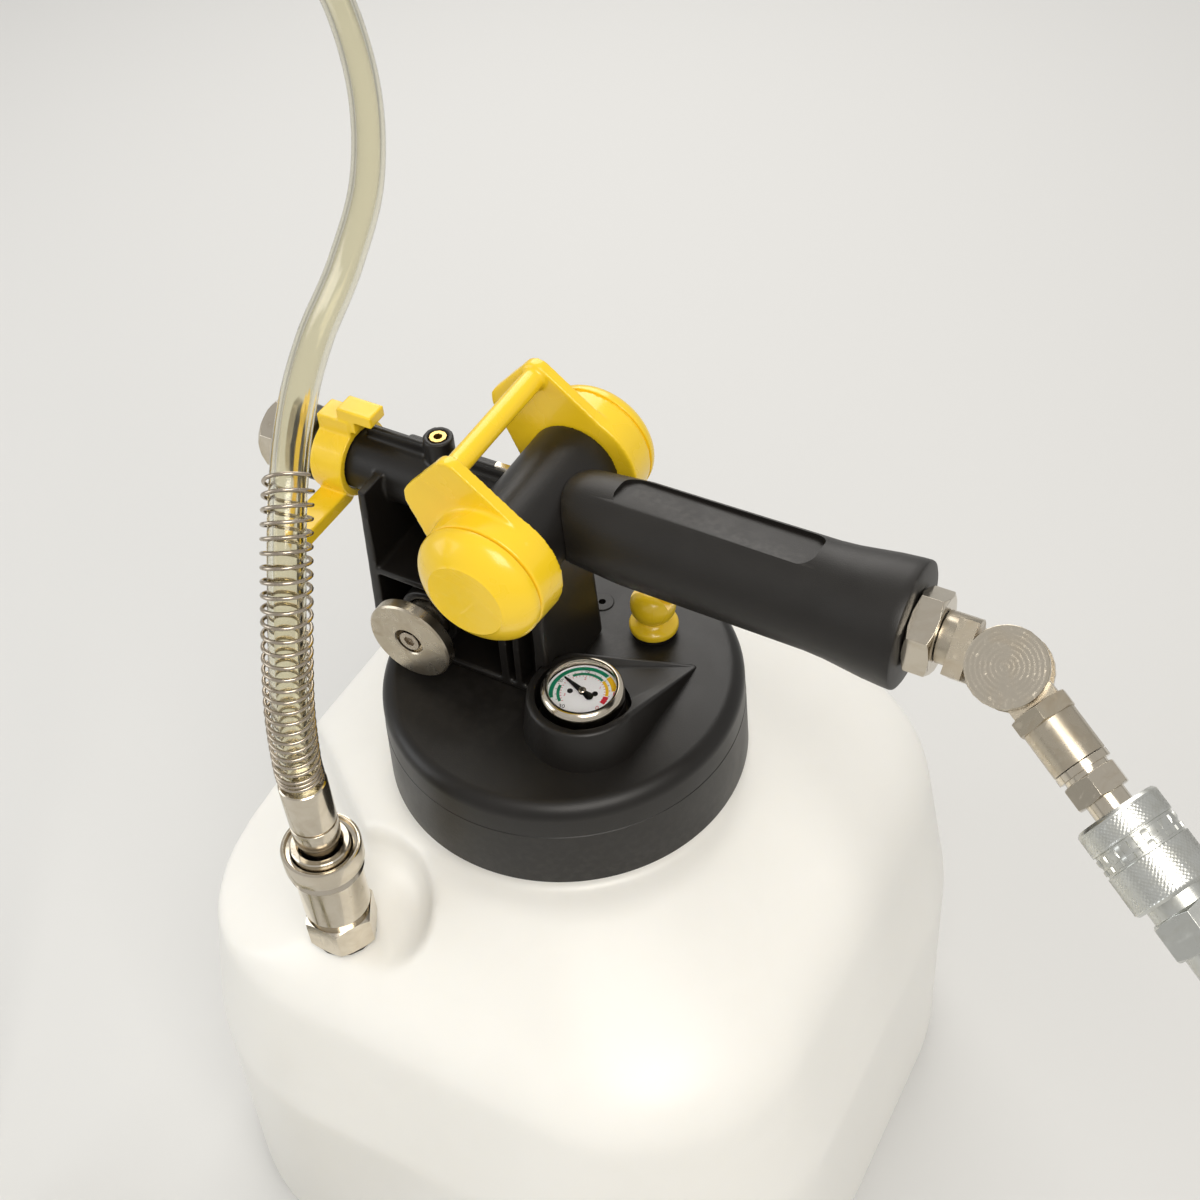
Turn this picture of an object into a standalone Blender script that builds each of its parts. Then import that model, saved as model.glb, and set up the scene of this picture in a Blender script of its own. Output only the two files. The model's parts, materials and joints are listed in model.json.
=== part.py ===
"""Fluid extractor: a drafted translucent reservoir under a black screw lid and an air driven vacuum head.

All lengths are metres, +Z is up, and the origin is on the floor under the lid's axis.
X runs along the grip, towards the air inlet. Y runs along the cross barrel, away from the selector knob.
"""

import math

import bmesh
import bpy
from mathutils import Matrix, Vector

# Clearances
GAP = 0.0003
OVERRUN = 0.002

# Facets around a round piece, by its size
STEPS_LARGE = 40
STEPS_MEDIUM = 24
STEPS_SMALL = 16
STEPS_TINY = 10

# Reservoir
TANK_WALL = 0.0025
TANK_FOOT_RISE = 0.010
TANK_FOOT_INSET = 0.008
TANK_BASE_HALF = 0.128
TANK_BASE_CORNER = 0.074
TANK_KNEE_Z = 0.110
TANK_KNEE_HALF = 0.126
TANK_KNEE_CORNER = 0.078
TANK_EDGE_Z = 0.177
TANK_EDGE_HALF = 0.1132
TANK_EDGE_CORNER = 0.064
TANK_EDGE_LOW_SHARE = 0.80
TANK_EDGE_HIGH_SHARE = 0.35
TANK_SHOULDER_Z = 0.2065
TANK_SHOULDER_RADIUS = 0.068
TANK_CORNER_POINTS = 6
NECK_RADIUS = 0.0575
NECK_BORE = 0.0535
NECK_HEIGHT = 0.0345

# Pocket for the hose socket, in the reservoir's front left corner
SOCKET_X = -0.040
SOCKET_Y = -0.0895
SHELF_Z = 0.1865
BOWL_RADIUS = 0.031
BOWL_FILLET = 0.012
PAD_RADIUS = 0.0130
PAD_DEPTH = 0.0100
STEP_CORNER_X = -0.050
STEP_CORNER_Y = -0.060
STEP_LEFT_Y = 0.004
STEP_RIGHT_X = 0.004
STEP_RISE = 0.006
STEP_SLOPE_X = 0.50
STEP_SLOPE_Y = 0.16

# Lid
LID_RIM_Z = 0.215
LID_HEIGHT = 0.0363
LID_RIM_RADIUS = 0.063
LID_TOP_RADIUS = 0.0616
LID_FILLET = 0.0055
LID_ROOF = 0.0042
LID_BORE = 0.0590
FILLET_STEPS = 4
VENT_HOLE_X = -0.002
VENT_HOLE_Y = 0.032
VENT_HOLE_RADIUS = 0.0013
VENT_PAD_RADIUS = 0.0042
VENT_PAD_RISE = 0.0004

# Gasket between neck and lid
GASKET_RADIUS = 0.0572
GASKET_BORE = 0.0542

# Gauge and its teardrop boss
GAUGE_X = 0.0195
GAUGE_Y = -0.0190
BOSS_RISE = 0.0157
BOSS_RADIUS = 0.0184
BOSS_FOOT_RADIUS = 0.0206
BOSS_TAIL_X = 0.0403
BOSS_TAIL_Y = 0.0187
BOSS_TAIL_RADIUS = 0.0009
BOSS_TAIL_RISE = 0.0012
BOSS_RECESS_RADIUS = 0.0155
BOSS_RECESS_DEPTH = 0.0120
GAUGE_RADIUS = 0.0136
GAUGE_STAND = 0.0034
GAUGE_CASE_WALL = 0.0012
BEZEL_WALL = 0.0015
BEZEL_DEPTH = 0.0060
DIAL_RADIUS = 0.0117
DIAL_THICKNESS = 0.0006
DIAL_DROP = 0.0036
LENS_THICKNESS = 0.0008
NEEDLE_LENGTH = 0.0086
NEEDLE_TAIL = 0.0046
NEEDLE_WIDTH = 0.0011
NEEDLE_THICKNESS = 0.0004
NEEDLE_HUB_RADIUS = 0.0013
NEEDLE_HUB_HEIGHT = 0.0009
NEEDLE_WEIGHT_RADIUS = 0.0014
NEEDLE_BEARING = math.radians(161)
PINION_RADIUS = 0.0004
PINION_CLEARANCE = 0.00035

# Relief valve on the lid
RELIEF_X = 0.0205
RELIEF_Y = 0.0280
RELIEF_SEAT_RADIUS = 0.0078
RELIEF_SEAT_RISE = 0.0022
RELIEF_FLANGE_RADIUS = 0.0085
RELIEF_FLANGE_THICKNESS = 0.0018
RELIEF_NECK_RADIUS = 0.0050
RELIEF_NECK_RISE = 0.0012
RELIEF_BOWL_RADIUS = 0.0076
RELIEF_CAP_HEIGHT = 0.0170
RELIEF_NOTCH_WIDTH = 0.0052
RELIEF_NOTCH_DEPTH = 0.0042
RELIEF_STEM_RADIUS = 0.0030
RELIEF_BORE = 0.0034
RELIEF_DISC_RADIUS = 0.0062
RELIEF_DISC_THICKNESS = 0.0018
RELIEF_LIFT = 0.0030

# Head housing: ribbed pylon, cross barrel and left tube, one moulding
BARREL_Z = 0.3256
BARREL_RADIUS = 0.0154
BARREL_BORE = 0.0105
BARREL_FRONT = 0.0257
BARREL_BACK = 0.0195
PYLON_LEFT = -0.0625
PYLON_RIGHT = 0.0030
PYLON_FRONT = -0.0140
PYLON_BACK = 0.0185
PYLON_DRAFT = 0.0020
PYLON_WALL = 0.0032
PYLON_BACK_WALL = 0.0040
PYLON_COLUMN_LEFT = -0.0110
PYLON_COLUMN_FRONT = -0.0105
PYLON_RIB = 0.0026
PYLON_RIB_X = -0.0060
PYLON_SHELF = 0.0026
PYLON_FOOT_RISE = 0.0030
PYLON_FOOT_SPREAD = 0.0016
PYLON_TOP_ABOVE_TUBE = 0.0055
PYLON_SHELF_UNDER_TUBE = 0.0290
TUBE_Y = 0.0060
TUBE_UNDER_BARREL = 0.0136
TUBE_Z = BARREL_Z - TUBE_UNDER_BARREL
TUBE_RADIUS = 0.0102
PYLON_TOP_Z = TUBE_Z + PYLON_TOP_ABOVE_TUBE
PYLON_SHELF_Z = TUBE_Z - PYLON_SHELF_UNDER_TUBE
TUBE_BORE = 0.0078
TUBE_END_X = -0.0960
TUBE_COLLAR_RADIUS = 0.0122
TUBE_COLLAR_LENGTH = 0.0075
TUBE_BORE_END_X = -0.0240
RAIL_Y = 0.0075
RAIL_WIDTH = 0.0026
RAIL_TOP = 0.0146
RAIL_END_X = -0.0710
INSERT_X = -0.0433
INSERT_Y = 0.0080
INSERT_BOSS_RADIUS = 0.0050
INSERT_BOSS_TOP = 0.0187
INSERT_RADIUS = 0.0029
INSERT_DEPTH = 0.0060

# Selector: a push and pull spool through the pylon
SELECTOR_X = -0.0410
SELECTOR_Z = 0.2705
SELECTOR_BOSS_RADIUS = 0.0108
SELECTOR_BOSS_FRONT = -0.0152
SPOOL_RADIUS = 0.0076
SPOOL_BORE = 0.0079
SPOOL_BACK = 0.0100
KNOB_RADIUS = 0.0153
KNOB_THICKNESS = 0.0045
KNOB_FRONT = -0.0275
KNOB_CHAMFER = 0.0006
KNOB_SOCKET_RADIUS = 0.0050
KNOB_SOCKET_DEPTH = 0.0030
SCREW_HEAD_RADIUS = 0.0038
SCREW_HEAD_HEIGHT = 0.0024
SCREW_HEX_RADIUS = 0.0018
SCREW_HEX_DEPTH = 0.0015
SEAL_WIRE = 0.0007
SEAL_SIDES = 6
SEAL_GROOVE_WIDTH = 0.0019
SEAL_GROOVE_DEPTH = 0.0014
SELECTOR_TRAVEL = 0.0060

# Bail lever with its hubs and caps
HUB_RADIUS = 0.0213
HUB_LENGTH = 0.0112
HUB_TAPER = 0.0008
ARM_THICKNESS = 0.0040
ARM_LOW_X = -0.0235
ARM_LOW_Z = 0.0165
ARM_LOW_RADIUS = 0.0060
ARM_TOP_X = -0.0125
ARM_TOP_Z = 0.0300
ARM_TOP_RADIUS = 0.0050
CROSSBAR_RADIUS = 0.0036
CAP_RADIUS = 0.0205
CAP_HEIGHT = 0.0095
CAP_FACE_RADIUS = 0.0125
CAP_SEAT = 0.0010
ROTOR_RADIUS = 0.0101
ROTOR_SPIGOT = 0.0016
BAIL_EDGE = 0.0010

# Grip
GRIP_END_X = 0.1194
GRIP_ROOT_X = 0.0020
GRIP_ROOT_RADIUS = 0.0150
GRIP_NEAR_RADIUS = 0.0162
GRIP_FAR_RADIUS = 0.0166
GRIP_END_RADIUS = 0.0192
GRIP_FLARE_LENGTH = 0.0235
GRIP_EDGE = 0.0010
GRIP_BORE = 0.0090
GRIP_BORE_START_X = 0.0260
GRIP_ENTRY_BORE = 0.0072
GRIP_ENTRY_DEPTH = 0.0120
PANEL_START_X = 0.0330
PANEL_END_X = 0.0935
PANEL_WIDTH = 0.0150
PANEL_CORNER = 0.0050
PANEL_DEPTH = 0.0012
PANEL_TILT = math.radians(-8)

# Air path inside the left tube
NOZZLE_LENGTH = 0.0200
NOZZLE_RADIUS = 0.0075
NOZZLE_THROAT = 0.0016
DIFFUSER_LENGTH = 0.0400
DIFFUSER_GAP = 0.0040
DIFFUSER_MOUTH = 0.0048
DIFFUSER_THROAT = 0.0028

# Muffler
MUFFLER_ACROSS = 0.0220
MUFFLER_LENGTH = 0.0125
MUFFLER_CHAMFER = 0.0020
MUFFLER_STEM_RADIUS = 0.0074
MUFFLER_STEM_LENGTH = 0.0070
MUFFLER_BORE = 0.0052
ELEMENT_RADIUS = 0.0048
ELEMENT_LENGTH = 0.0130

# Yellow clip round the left tube
CLIP_CENTRE_X = -0.0800
CLIP_WIDTH = 0.0125
CLIP_BORE = 0.0106
CLIP_RADIUS = 0.0131
CLIP_MOUTH_FROM = math.radians(262)
CLIP_MOUTH_TO = math.radians(312)
CLIP_BLOCK_TOP = 0.0180
CLIP_BLOCK_WIDTH = 0.0090
CLIP_HOOK_REACH = 0.0090
CLIP_HOOK_WIDTH = 0.0080
CLIP_HOOK_THICKNESS = 0.0042
CLIP_HOOK_TOP = 0.0225
CLIP_LEVER_LENGTH = 0.0290
CLIP_LEVER_THICKNESS = 0.0052
CLIP_LEVER_Z = -0.0100

# Hose socket on the shelf
SOCKET_HEX_ACROSS = 0.0215
SOCKET_HEX_HEIGHT = 0.0130
SOCKET_BODY_RADIUS = 0.0098
SOCKET_BODY_HEIGHT = 0.0365
SOCKET_LIP_RADIUS = 0.0105
SOCKET_LIP_HEIGHT = 0.0030
SOCKET_BORE = 0.0072
SOCKET_STEM_RADIUS = 0.0070
SOCKET_STEM_LENGTH = 0.0170
SOCKET_SEAT_THICKNESS = 0.0012
SLEEVE_RADIUS = 0.0112
SLEEVE_RING_RADIUS = 0.0132
SLEEVE_RING_HEIGHT = 0.0080
SLEEVE_BAND_RADIUS = 0.0124
SLEEVE_BAND_HEIGHT = 0.0040
SLEEVE_LENGTH = 0.0320
SLEEVE_TRAVEL = 0.0030
NUT_ACROSS = 0.0210
NUT_HEIGHT = 0.0060
DIP_TUBE_RADIUS = 0.0050
DIP_TUBE_WALL = 0.0010
DIP_TUBE_FLOOR_GAP = 0.0080

# Hose end in the socket, spring guard and clear hose
FERRULE_RADIUS = 0.0077
FERRULE_HEIGHT = 0.0310
FERRULE_NOSE_RADIUS = 0.0066
FERRULE_NOSE_LENGTH = 0.0150
FERRULE_GROOVE_RISE = 0.0115
FERRULE_GROOVE_WIDTH = 0.0010
FERRULE_GROOVE_DEPTH = 0.0007
HOSE_DIAMETER = 0.0110
HOSE_POINT_SPACING = 0.0128
SPRING_WIRE = 0.0012
SPRING_CLEARANCE = 0.0008
SPRING_TURNS = 26
SPRING_LENGTH = 0.1010
SPRING_CLOSED_TURNS = 3
SPRING_CLOSED_PITCH = 0.0019
SPRING_POINTS_PER_TURN = 8

# Coil of hose put away on the floor in front of the reservoir, in two layers
COIL_X = -0.0950
COIL_Y = -0.2145
COIL_OUTER_RADIUS = 0.0675
COIL_PITCH = 0.0122
COIL_LAYER_RISE = 0.0123
COIL_TURNS = 2.4
COIL_REVERSE_TURN = 1.5
COIL_CLIMB_TURNS = 0.5
COIL_POINTS_PER_TURN = 24
COIL_START_BEARING = math.radians(215)
COIL_FLOOR_GAP = 0.0013
COIL_LEAD = 0.0260
TIE_TURN = 0.8
TIE_THICKNESS = 0.0005
TIE_CLEARANCE = 0.0007
TIE_WIDTH = 0.0070
CONNECTOR_RADIUS = 0.0080
CONNECTOR_LENGTH = 0.0340
CONNECTOR_TIP_RADIUS = 0.0045
CONNECTOR_TIP_LENGTH = 0.0140
CONNECTOR_BORE = 0.0028

# Float that shuts the vacuum port when the reservoir is full
CAGE_RADIUS = 0.0150
CAGE_WALL = 0.0014
CAGE_FLANGE_RADIUS = 0.0190
CAGE_FLANGE = 0.0020
CAGE_SLOT_WIDTH = 0.0060
CAGE_SLOTS = 4
FLOAT_RADIUS = 0.0126
FLOAT_LENGTH = 0.0200
FLOAT_LIFT = 0.0180
PORT_SEAL_RADIUS = 0.0100
PORT_SEAL_BORE = 0.0040
PORT_SEAL_THICKNESS = 0.0020

# Air inlet: hex fitting, two part swivel, plug and quick coupler
FITTING_ACROSS = 0.0225
FITTING_HEX_LENGTH = 0.0080
FITTING_STEM_RADIUS = 0.0068
FITTING_STEM_LENGTH = 0.0100
FITTING_NECK_RADIUS = 0.0048
FITTING_NECK_LENGTH = 0.0080
FITTING_BORE = 0.0026
KNUCKLE_X = 0.1480
KNUCKLE_ROLL = math.radians(40)
KNUCKLE_BEND = math.radians(35)
KNUCKLE_SINK = 0.0030
DISC_RADIUS = 0.0116
DISC_THICKNESS = 0.0034
LEG_EYE_RADIUS = 0.0098
LEG_EYE_HALF = 0.0048
KNUCKLE_PIN_RADIUS = 0.0040
BODY_BLOCK_WIDTH = 0.0150
BODY_BLOCK_GAP = 0.0008
BODY_SOCKET_RADIUS = 0.0078
LEG_HEX_ACROSS = 0.0165
LEG_HEX_START = 0.0126
LEG_HEX_LENGTH = 0.0050
LEG_RADIUS = 0.0080
LEG_END = 0.0310
LEG_BORE = 0.0045
PLUG_RING_RADIUS = 0.0080
PLUG_RING_LENGTH = 0.0022
PLUG_GROOVE_RADIUS = 0.0066
PLUG_GROOVE_LENGTH = 0.0014
PLUG_HEX_ACROSS = 0.0150
PLUG_HEX_LENGTH = 0.0070
PLUG_NIPPLE_RADIUS = 0.0058
PLUG_NIPPLE_LENGTH = 0.0200
PLUG_STEM_RADIUS = 0.0042
PLUG_STEM_LENGTH = 0.0080
PLUG_BORE = 0.0024
AIR_SLEEVE_START = 0.0462
AIR_SLEEVE_LENGTH = 0.0260
AIR_SLEEVE_RADIUS = 0.0123
AIR_SLEEVE_BORE = 0.0098
AIR_SLEEVE_CHAMFER = 0.0010
AIR_SLEEVE_GROOVE_SHARE = 0.33
AIR_SLEEVE_GROOVE_DEPTH = 0.0006
AIR_SLEEVE_GROOVE_WIDTH = 0.0030
AIR_SLEEVE_TRAVEL = 0.0035
AIR_BODY_RADIUS = 0.0094
AIR_BODY_BORE = 0.0062
AIR_BODY_INSET = 0.0010
AIR_BODY_LENGTH = 0.0290
AIR_HEX_ACROSS = 0.0200
AIR_HEX_LENGTH = 0.0110
AIR_TAIL_RADIUS = 0.0086
AIR_TAIL_LENGTH = 0.0120
AIR_TAIL_BORE = 0.0056
AIR_TAIL_BORE_DEPTH = 0.0160

LID_TOP_Z = LID_RIM_Z + LID_HEIGHT
NECK_TOP_Z = TANK_SHOULDER_Z + NECK_HEIGHT
CEILING_Z = LID_TOP_Z - LID_ROOF

# The hose's route, chosen by hand: up out of its guard, over the muffler, down on the left, round to the front.
HOSE_ROUTE = [
    (-0.0395, -0.0895, 0.2810),
    (-0.0370, -0.0882, 0.3070),
    (-0.0370, -0.0795, 0.3370),
    (-0.0440, -0.0615, 0.3620),
    (-0.0540, -0.0400, 0.3735),
    (-0.0635, -0.0160, 0.3790),
    (-0.0735, 0.0150, 0.3825),
    (-0.0860, 0.0480, 0.3915),
    (-0.1060, 0.0780, 0.4070),
    (-0.1330, 0.1010, 0.4260),
    (-0.1650, 0.1130, 0.4430),
    (-0.1985, 0.1110, 0.4520),
    (-0.2280, 0.0920, 0.4490),
    (-0.2450, 0.0580, 0.4270),
    (-0.2480, 0.0170, 0.3870),
    (-0.2470, -0.0220, 0.3380),
    (-0.2430, -0.0560, 0.2850),
    (-0.2385, -0.0860, 0.2310),
    (-0.2320, -0.1110, 0.1750),
    (-0.2235, -0.1345, 0.1190),
    (-0.2130, -0.1585, 0.0680),
    (-0.2000, -0.1845, 0.0310),
    (-0.1850, -0.2105, 0.0135),
]


def clear_scene():
    for thing in list(bpy.data.objects):
        bpy.data.objects.remove(thing, do_unlink=True)


def finish(name, colour, metallic, roughness, alpha=1.0):
    """A Principled material for one sub-part."""
    made = bpy.data.materials.new(name)
    made.use_nodes = True
    shader = made.node_tree.nodes["Principled BSDF"]
    shader.inputs["Base Color"].default_value = (*colour, 1.0)
    shader.inputs["Metallic"].default_value = metallic
    shader.inputs["Roughness"].default_value = roughness
    shader.inputs["Alpha"].default_value = alpha
    made.diffuse_color = (*colour, alpha)
    return made


def milky_plastic(name):
    return finish(name, (0.86, 0.84, 0.78), 0.0, 0.35, 0.9)


def black_plastic(name):
    return finish(name, (0.022, 0.020, 0.018), 0.0, 0.42)


def yellow_plastic(name):
    return finish(name, (0.95, 0.62, 0.02), 0.0, 0.32)


def plated_steel(name):
    return finish(name, (0.62, 0.58, 0.50), 1.0, 0.22)


def zinc(name):
    return finish(name, (0.60, 0.55, 0.44), 1.0, 0.36)


def brass(name):
    return finish(name, (0.72, 0.52, 0.20), 1.0, 0.30)


def rubber(name):
    return finish(name, (0.015, 0.015, 0.015), 0.0, 0.75)


def clear_vinyl(name):
    return finish(name, (0.78, 0.76, 0.60), 0.0, 0.12, 0.45)


def clear_lens(name):
    return finish(name, (0.92, 0.94, 0.95), 0.0, 0.05, 0.25)


def white_dial(name):
    return finish(name, (0.88, 0.88, 0.90), 0.0, 0.5)


def sintered_bronze(name):
    return finish(name, (0.45, 0.33, 0.18), 0.8, 0.7)


def add_object(name, mesh, made, parent=None, location=(0, 0, 0), rotation=(0, 0, 0)):
    """Link a mesh under its frame, with its material and smooth round faces."""
    thing = bpy.data.objects.new(name, mesh)
    bpy.context.scene.collection.objects.link(thing)
    if made:
        mesh.materials.append(made)
    mesh.shade_smooth()
    mesh.set_sharp_from_angle(angle=math.radians(35))
    thing.parent = parent
    thing.location = location
    thing.rotation_euler = rotation
    return thing


def add_frame(name, location, rotation=(0, 0, 0), parent=None):
    """An empty that carries the pieces on one axis."""
    frame = bpy.data.objects.new(name, None)
    bpy.context.scene.collection.objects.link(frame)
    frame.parent = parent
    frame.location = location
    frame.rotation_euler = rotation
    return frame


def to_mesh(name, shape):
    """Turn faces outward and give back a mesh."""
    bmesh.ops.recalc_face_normals(shape, faces=shape.faces)
    mesh = bpy.data.meshes.new(name)
    shape.to_mesh(mesh)
    shape.free()
    return mesh


def turned(name, profile, steps):
    """Solid of revolution about Z. A profile that starts and ends on the axis is a solid, any other a ring."""
    shape = bmesh.new()
    rings = []
    for radius, height in profile:
        if radius == 0:
            rings.append([shape.verts.new((0, 0, height))])
            continue
        turn = [math.tau * k / steps for k in range(steps)]
        rings.append([shape.verts.new((radius * math.cos(t), radius * math.sin(t), height)) for t in turn])
    pairs = list(zip(rings, rings[1:]))
    if profile[0][0] != 0:
        pairs.append((rings[-1], rings[0]))
    for low, high in pairs:
        for k in range(steps):
            after = (k + 1) % steps
            if len(low) == 1 and len(high) == 1:
                break
            if len(low) == 1:
                shape.faces.new((low[0], high[k], high[after]))
            elif len(high) == 1:
                shape.faces.new((low[k], high[0], low[after]))
            else:
                shape.faces.new((low[k], high[k], high[after], low[after]))
    return to_mesh(name, shape)


def lofted(name, loops):
    """Solid through loops of equal count, closed by a face at each end."""
    shape = bmesh.new()
    rings = [[shape.verts.new(point) for point in loop] for loop in loops]
    count = len(loops[0])
    for low, high in zip(rings, rings[1:]):
        for k in range(count):
            after = (k + 1) % count
            shape.faces.new((low[k], low[after], high[after], high[k]))
    shape.faces.new(rings[0])
    shape.faces.new(rings[-1])
    return to_mesh(name, shape)


def extruded(name, outline, low, high):
    """Prism of a flat outline between two heights."""
    return lofted(name, [[(x, y, z) for x, y in outline] for z in (low, high)])


def rod(name, radius, low, high, steps):
    return turned(name, [(0, low), (radius, low), (radius, high), (0, high)], steps)


def arc(centre_x, centre_y, radius, start, end, steps):
    """Points of an arc, both ends included."""
    turn = [start + (end - start) * k / steps for k in range(steps + 1)]
    return [(centre_x + radius * math.cos(t), centre_y + radius * math.sin(t)) for t in turn]


def polygon(across_flats, sides=6):
    """Regular outline by its width across flats."""
    reach = across_flats / 2 / math.cos(math.pi / sides)
    return [(reach * math.cos(math.tau * k / sides), reach * math.sin(math.tau * k / sides)) for k in range(sides)]


def rounded_rectangle(half_x, half_y, corner, points):
    """Outline with round corners, the same count of points whatever its size."""
    outline = []
    quarter = math.pi / 2
    for index, (side_x, side_y) in enumerate(((1, 1), (-1, 1), (-1, -1), (1, -1))):
        centre_x = side_x * (half_x - corner)
        centre_y = side_y * (half_y - corner)
        outline += arc(centre_x, centre_y, corner, quarter * index, quarter * (index + 1), points - 1)
    return outline


def hull_outline(circles, steps):
    """Outer outline round a set of circles (x, y, radius), as a taut belt lies round them."""
    points = []
    for x, y, radius in circles:
        points += arc(x, y, radius, 0, math.tau * (steps - 1) / steps, steps - 1)
    points = sorted(set(points))
    halves = []
    for run in (points, points[::-1]):
        half = []
        for p in run:
            while len(half) > 1:
                a, b = half[-2:]
                if (b[0] - a[0]) * (p[1] - a[1]) - (b[1] - a[1]) * (p[0] - a[0]) > 0:
                    break
                half.pop()
            half.append(p)
        halves += half[:-1]
    return halves


def bevel_edges(thing, width, segments=2, angle=40):
    """Round the sharp edges of a piece."""
    rounding = thing.modifiers.new("edges", "BEVEL")
    rounding.width = width
    rounding.segments = segments
    rounding.limit_method = "ANGLE"
    rounding.angle_limit = math.radians(angle)
    return rounding


def combine(thing, other, how, solver="EXACT"):
    """Join or cut a piece with a guide solid that the model leaves out."""
    other.hide_render = True
    other.display_type = "WIRE"
    step = thing.modifiers.new(other.name, "BOOLEAN")
    step.operation = how
    step.solver = solver
    step.object = other


def cut(thing, other, solver="EXACT"):
    combine(thing, other, "DIFFERENCE", solver)


def join(thing, other):
    combine(thing, other, "UNION")


def smooth_points(points, spacing):
    """Evenly spaced points on a smooth curve through the given ones."""
    knots = [Vector(p) for p in points]
    ends = [knots[0] * 2 - knots[1], *knots, knots[-1] * 2 - knots[-2]]
    fine = []
    steps = 24
    for k in range(1, len(ends) - 2):
        before, here, there, after = ends[k - 1 : k + 3]
        for step in range(steps):
            t = step / steps
            fine.append(
                (
                    here * 2
                    + (there - before) * t
                    + (before * 2 - here * 5 + there * 4 - after) * t**2
                    + (here * 3 - before - there * 3 + after) * t**3
                )
                / 2
            )
    fine.append(knots[-1])
    lengths = [0.0]
    for a, b in zip(fine, fine[1:]):
        lengths.append(lengths[-1] + (b - a).length)
    count = max(2, round(lengths[-1] / spacing))
    made = []
    index = 0
    for k in range(count + 1):
        wanted = lengths[-1] * k / count
        while index < len(fine) - 2 and lengths[index + 1] < wanted:
            index += 1
        span = lengths[index + 1] - lengths[index]
        made.append(fine[index].lerp(fine[index + 1], (wanted - lengths[index]) / span))
    return made


def tube_along(name, points, radius, resolution, made):
    """Round tube with closed ends along given points."""
    line = bpy.data.curves.new(name, "CURVE")
    line.dimensions = "3D"
    line.bevel_depth = radius
    line.bevel_resolution = resolution
    line.use_fill_caps = True
    spline = line.splines.new("POLY")
    spline.points.add(len(points) - 1)
    for knot, place in zip(spline.points, points):
        knot.co = (*place, 1.0)
    thing = bpy.data.objects.new(name, line)
    bpy.context.scene.collection.objects.link(thing)
    line.materials.append(made)
    return thing


def side_frames(points):
    """A pair of side directions at each point, turned as little as possible along the line."""
    frames = []
    side = Vector((1, 0, 0))
    for k, here in enumerate(points):
        along = (points[min(k + 1, len(points) - 1)] - points[max(k - 1, 0)]).normalized()
        side = (side - along * side.dot(along)).normalized()
        frames.append((side.copy(), along.cross(side)))
    return frames


def least_gap(points, radius, skip):
    """Least clearance between stretches of one line that lie at least skip points apart."""
    least = math.inf
    for k, here in enumerate(points):
        for there in points[k + skip :]:
            least = min(least, (there - here).length)
    return least - 2 * radius


def tank_rows(inset):
    """Heights, half widths and corner radii of the reservoir's sections, from the floor up."""
    low = inset
    rows = [
        (low, TANK_BASE_HALF - TANK_FOOT_INSET - inset, TANK_BASE_CORNER - inset),
        (low + TANK_FOOT_RISE / 4, TANK_BASE_HALF - TANK_FOOT_INSET / 3 - inset, TANK_BASE_CORNER - inset),
        (low + TANK_FOOT_RISE, TANK_BASE_HALF - inset, TANK_BASE_CORNER - inset),
        (TANK_KNEE_Z, TANK_KNEE_HALF - inset, TANK_KNEE_CORNER - inset),
    ]
    knee = Vector((TANK_KNEE_Z, TANK_KNEE_HALF - inset, TANK_KNEE_CORNER - inset))
    edge = Vector((TANK_EDGE_Z - inset / 2, TANK_EDGE_HALF - inset, TANK_EDGE_CORNER - inset))
    shoulder = Vector((TANK_SHOULDER_Z - inset, TANK_SHOULDER_RADIUS - inset, TANK_SHOULDER_RADIUS - inset))
    start = knee.lerp(edge, TANK_EDGE_LOW_SHARE)
    end = edge.lerp(shoulder, TANK_EDGE_HIGH_SHARE)
    for k in range(FILLET_STEPS + 1):
        t = k / FILLET_STEPS
        rows.append(tuple(start.lerp(edge, t).lerp(edge.lerp(end, t), t)))
    rows.append(tuple(shoulder))
    return rows


def tank_loops(inset):
    return [
        [(x, y, z) for x, y in rounded_rectangle(half, half, corner, TANK_CORNER_POINTS)]
        for z, half, corner in tank_rows(inset)
    ]


def step_cutter(name, grow):
    """The stepped down front left corner: a slanting floor under everything beyond two walls."""
    reach = TANK_BASE_HALF + 2 * OVERRUN
    outline = [
        (-reach, STEP_LEFT_Y + grow),
        (STEP_CORNER_X + grow, STEP_CORNER_Y + grow),
        (STEP_RIGHT_X + grow, STEP_CORNER_Y + grow),
        (STEP_RIGHT_X + grow, -reach),
        (-reach, -reach),
    ]
    floor = SHELF_Z + STEP_RISE - grow
    low = [
        (x, y, floor + STEP_SLOPE_X * (x - SOCKET_X) + STEP_SLOPE_Y * (y - SOCKET_Y)) for x, y in outline
    ]
    high = [(x, y, NECK_TOP_Z) for x, y in outline]
    return add_object(name, lofted(name, [low, high]), None)


def bowl_cutter(name, grow):
    """The round seat of the hose socket, with a rounded bottom edge."""
    radius = BOWL_RADIUS + grow
    low = SHELF_Z - grow
    corner = arc(radius - BOWL_FILLET, low + BOWL_FILLET, BOWL_FILLET, -math.pi / 2, 0, FILLET_STEPS)
    profile = [(0, low), *corner, (radius, NECK_TOP_Z), (0, NECK_TOP_Z)]
    return add_object(name, turned(name, profile, STEPS_MEDIUM), None, location=(SOCKET_X, SOCKET_Y, 0))


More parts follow.
